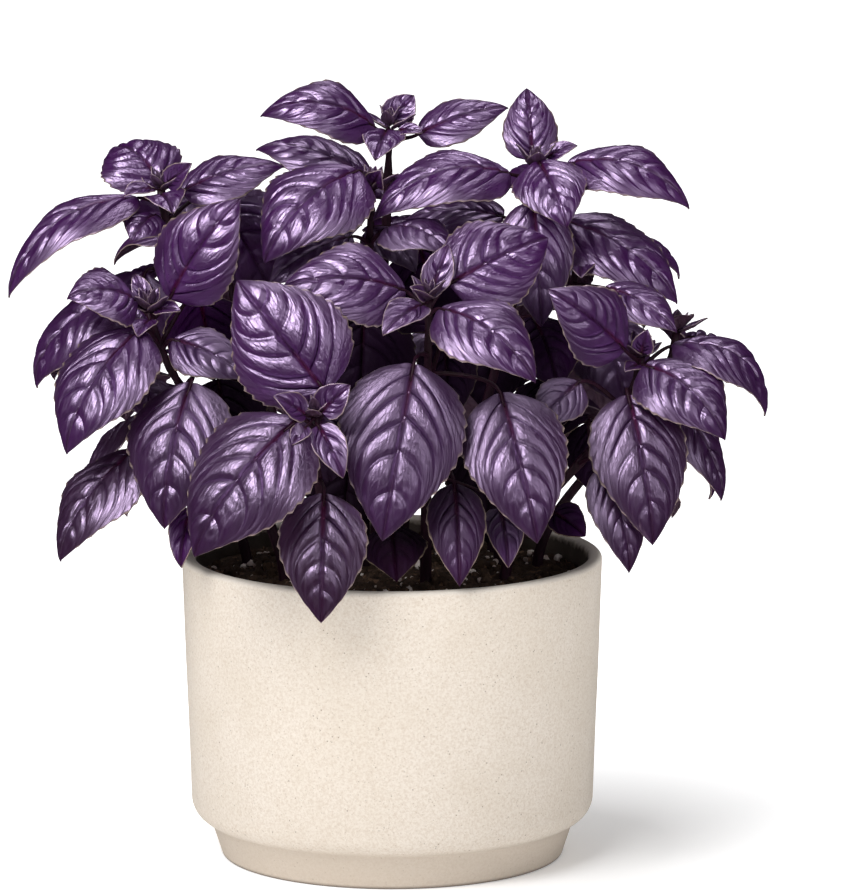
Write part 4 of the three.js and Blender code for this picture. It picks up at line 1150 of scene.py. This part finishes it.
def stoneware_material():
    """Matte cream stoneware with specks; painted light on the rim, painted shade on the foot and inside."""
    s = Surface("stoneware", IOR=1.5, Specular_IOR_Level=0.35)
    place = s.place()
    _, _, height = s.node("ShaderNodeSeparateXYZ", place).outputs
    away = s.away(s.stretched(place, (1, 1, 0)))
    colour = s.mix(s.between(s.noise(place, 0.035, 3.0), 0.35, 0.65), *STONEWARE_COLOURS)
    colour = s.mix(s.between(s.noise(place, 1.1, 4.0, 0.75), 0.42, 0.66, 0.0, 0.7), colour, STONEWARE_GRAIN)
    for scale, size, strength, speck in SPECKS:
        dot = s.between(s.cells(place, scale)["Distance"], size * 0.5, size, 1.0, 0.0)
        chance = s.between(s.noise(place, scale * 0.7, 1.0), 0.5, 0.56)
        colour = s.mix(s.times(s.times(dot, chance), strength), colour, speck)
    # Painted shade on the pot's inside above the soil, with a ragged top edge.
    ragged = s.math("ADD", height, s.between(s.noise(place, 0.3, 3.0), 0.3, 0.7, -0.8, 0.8))
    inside_shade = s.times(s.between(ragged, *INSIDE_SHADE_HEIGHTS, 1.0, 0.0), s.between(away, *INSIDE_SHADE_RADII, 1.0, 0.0))
    colour = s.layered(colour, (
        # painted light on the rim's top
        (s.between(height, POT_HEIGHT - RIM_ROUNDING, POT_HEIGHT - 0.3), 0.7, RIM_PAINTED_LIGHT),
        # painted shade on the foot
        (s.between(height, FOOT_HEIGHT - 0.5, FOOT_HEIGHT + 2.5, 1.0, 0.0), 0.6, FOOT_PAINTED_SHADE),
        # painted shadow with some wear at the lowest edge
        (s.between(height, 0.2, 1.4, 1.0, 0.0), 0.85, UNDERSIDE_EDGE_SHADOW_AND_WEAR),
        # painted shade on the inside above the soil
        (s.times(inside_shade, s.math("GREATER_THAN", height, INSIDE_SHADE_LOWEST)), 0.92, INSIDE_PAINTED_SHADE),
    ))
    grit = s.noise(place, 1.6, 4.0, 0.65)
    wheel = s.noise(s.stretched(place, (0.02, 0.02, 0.45)), 1.0, 2.0)
    bumps = s.bumps((grit, 0.25, 0.18), (wheel, 0.3, 0.35))
    return s.finish(colour, s.between(grit, 0.3, 0.7, 0.56, 0.72), bumps)


def soil_material():
    """Dark moist potting mix: near black with brown crumbs and fibres."""
    s = Surface("potting_mix", Specular_IOR_Level=0.3)
    place = s.place()
    colour = s.mix(s.between(s.noise(place, 0.35, 4.0, 0.7), 0.3, 0.7), *SOIL_COLOURS)
    bright = s.between(s.cells(place, 0.55)["Color"], 0.72, 0.9, 0.0, 0.7)
    grit = s.noise(place, 1.4, 5.0, 0.7)
    roughness = s.between(grit, 0.3, 0.7, 0.75, 0.98)
    return s.finish(s.mix(bright, colour, CRUMB_COLOUR), roughness, s.bumps((grit, 0.8, 0.8)))


def perlite_material():
    """Chalky white grains with a faint pink and grey stain."""
    s = Surface("perlite", Specular_IOR_Level=0.3)
    place = s.place()
    colour = s.mix(s.between(s.noise(place, 0.25, 3.0, 0.6), 0.35, 0.65), *PERLITE_COLOURS)
    grit = s.noise(place, 2.2, 4.0, 0.7)
    return s.finish(colour, s.between(grit, 0.3, 0.7, 0.8, 0.95), s.bumps((grit, 0.7, 0.4)))


def floor_material():
    """Plain white paper that glows, less so in the shaded place."""
    s = Surface("white_floor", Specular_IOR_Level=0.1, Emission_Color=(1, 1, 1, 1))
    place = s.place()
    glow = s.between(s.away(place, FLOOR_SHADE_MIDDLE), *FLOOR_GLOW_FROM_TO, *FLOOR_GLOW)
    s.feed(s.shader.inputs["Emission Strength"], glow)
    return s.finish(s.mix(s.noise(place, 0.02, 2.0), *FLOOR_COLOURS), 0.9)


# The studio

def camera():
    data = bpy.data.cameras.new("camera")
    data.sensor_width = SENSOR_SIZE
    data.lens = FOCAL_PIXELS / IMAGE_LONG_SIDE * SENSOR_SIZE
    made = bpy.data.objects.new("camera", data)
    made.location = Vector(CAMERA_PLACE) * MM
    made.rotation_euler = (math.radians(90 - CAMERA_DOWN_DEGREES), 0, 0)
    bpy.context.scene.collection.objects.link(made)
    bpy.context.scene.camera = made


def area_light(name, place, size, power):
    data = bpy.data.lights.new(name, "AREA")
    data.size = size * MM
    data.energy = power
    made = bpy.data.objects.new(name, data)
    made.location = Vector(place) * MM
    made.rotation_euler = (Vector(LIGHTS_AIM) - Vector(place)).to_track_quat("-Z", "Y").to_euler()
    bpy.context.scene.collection.objects.link(made)


def floor():
    """A white floor that isn't mirrored in the leaves."""
    reach = FLOOR_SIZE / 2 * MM
    corners = [(-reach, -reach, 0), (reach, -reach, 0), (reach, reach, 0), (-reach, reach, 0)]
    mesh = bpy.data.meshes.new("floor")
    mesh.from_pydata(corners, [], [(0, 1, 2, 3)])
    mesh.materials.append(floor_material())
    made = bpy.data.objects.new("floor", mesh)
    bpy.context.scene.collection.objects.link(made)
    made.visible_glossy = False


def world():
    """Pale near the horizon and greyer overhead, by height alone."""
    made = bpy.data.worlds.new("studio")
    bpy.context.scene.world = made
    made.use_nodes = True
    made.cycles_visibility.glossy = False
    tree = made.node_tree
    coordinates = tree.nodes.new("ShaderNodeTexCoord")
    parts = tree.nodes.new("ShaderNodeSeparateXYZ")
    lifted = tree.nodes.new("ShaderNodeMapRange")
    lifted.inputs["From Min"].default_value = -1
    ramp = tree.nodes.new("ShaderNodeValToRGB")
    stops = ramp.color_ramp.elements
    for _ in range(len(SKY_STOPS) - len(stops)):
        stops.new(0.5)
    for stop, (position, colour) in zip(stops, SKY_STOPS):
        stop.position = position
        stop.color = (*colour, 1)
    tree.links.new(coordinates.outputs["Generated"], parts.inputs[0])
    tree.links.new(parts.outputs["Z"], lifted.inputs["Value"])
    tree.links.new(lifted.outputs[0], ramp.inputs[0])
    tree.links.new(ramp.outputs[0], tree.nodes["Background"].inputs["Color"])


bpy.context.scene.view_settings.view_transform = "Standard"
camera()
for light_name, light in LIGHTS.items():
    area_light(light_name, **light)
world()
floor()

pot(stoneware_material())
soil(soil_material())
perlite(perlite_material())
leaf_materials = [
    leaf_material("purple_leaf_blade", *FRESH_GLOSS), stalk_material(),
    leaf_material("shaded_leaf_blade", *SHADED_GLOSS), leaf_material("low_leaf_blade", *LOW_GLOSS),
]
for stem_seed, (stem_name, leafy_stem) in enumerate(LEAFY_STEMS.items()):
    foliage(stem_name, leafy_stem, stem_seed, leaf_materials)
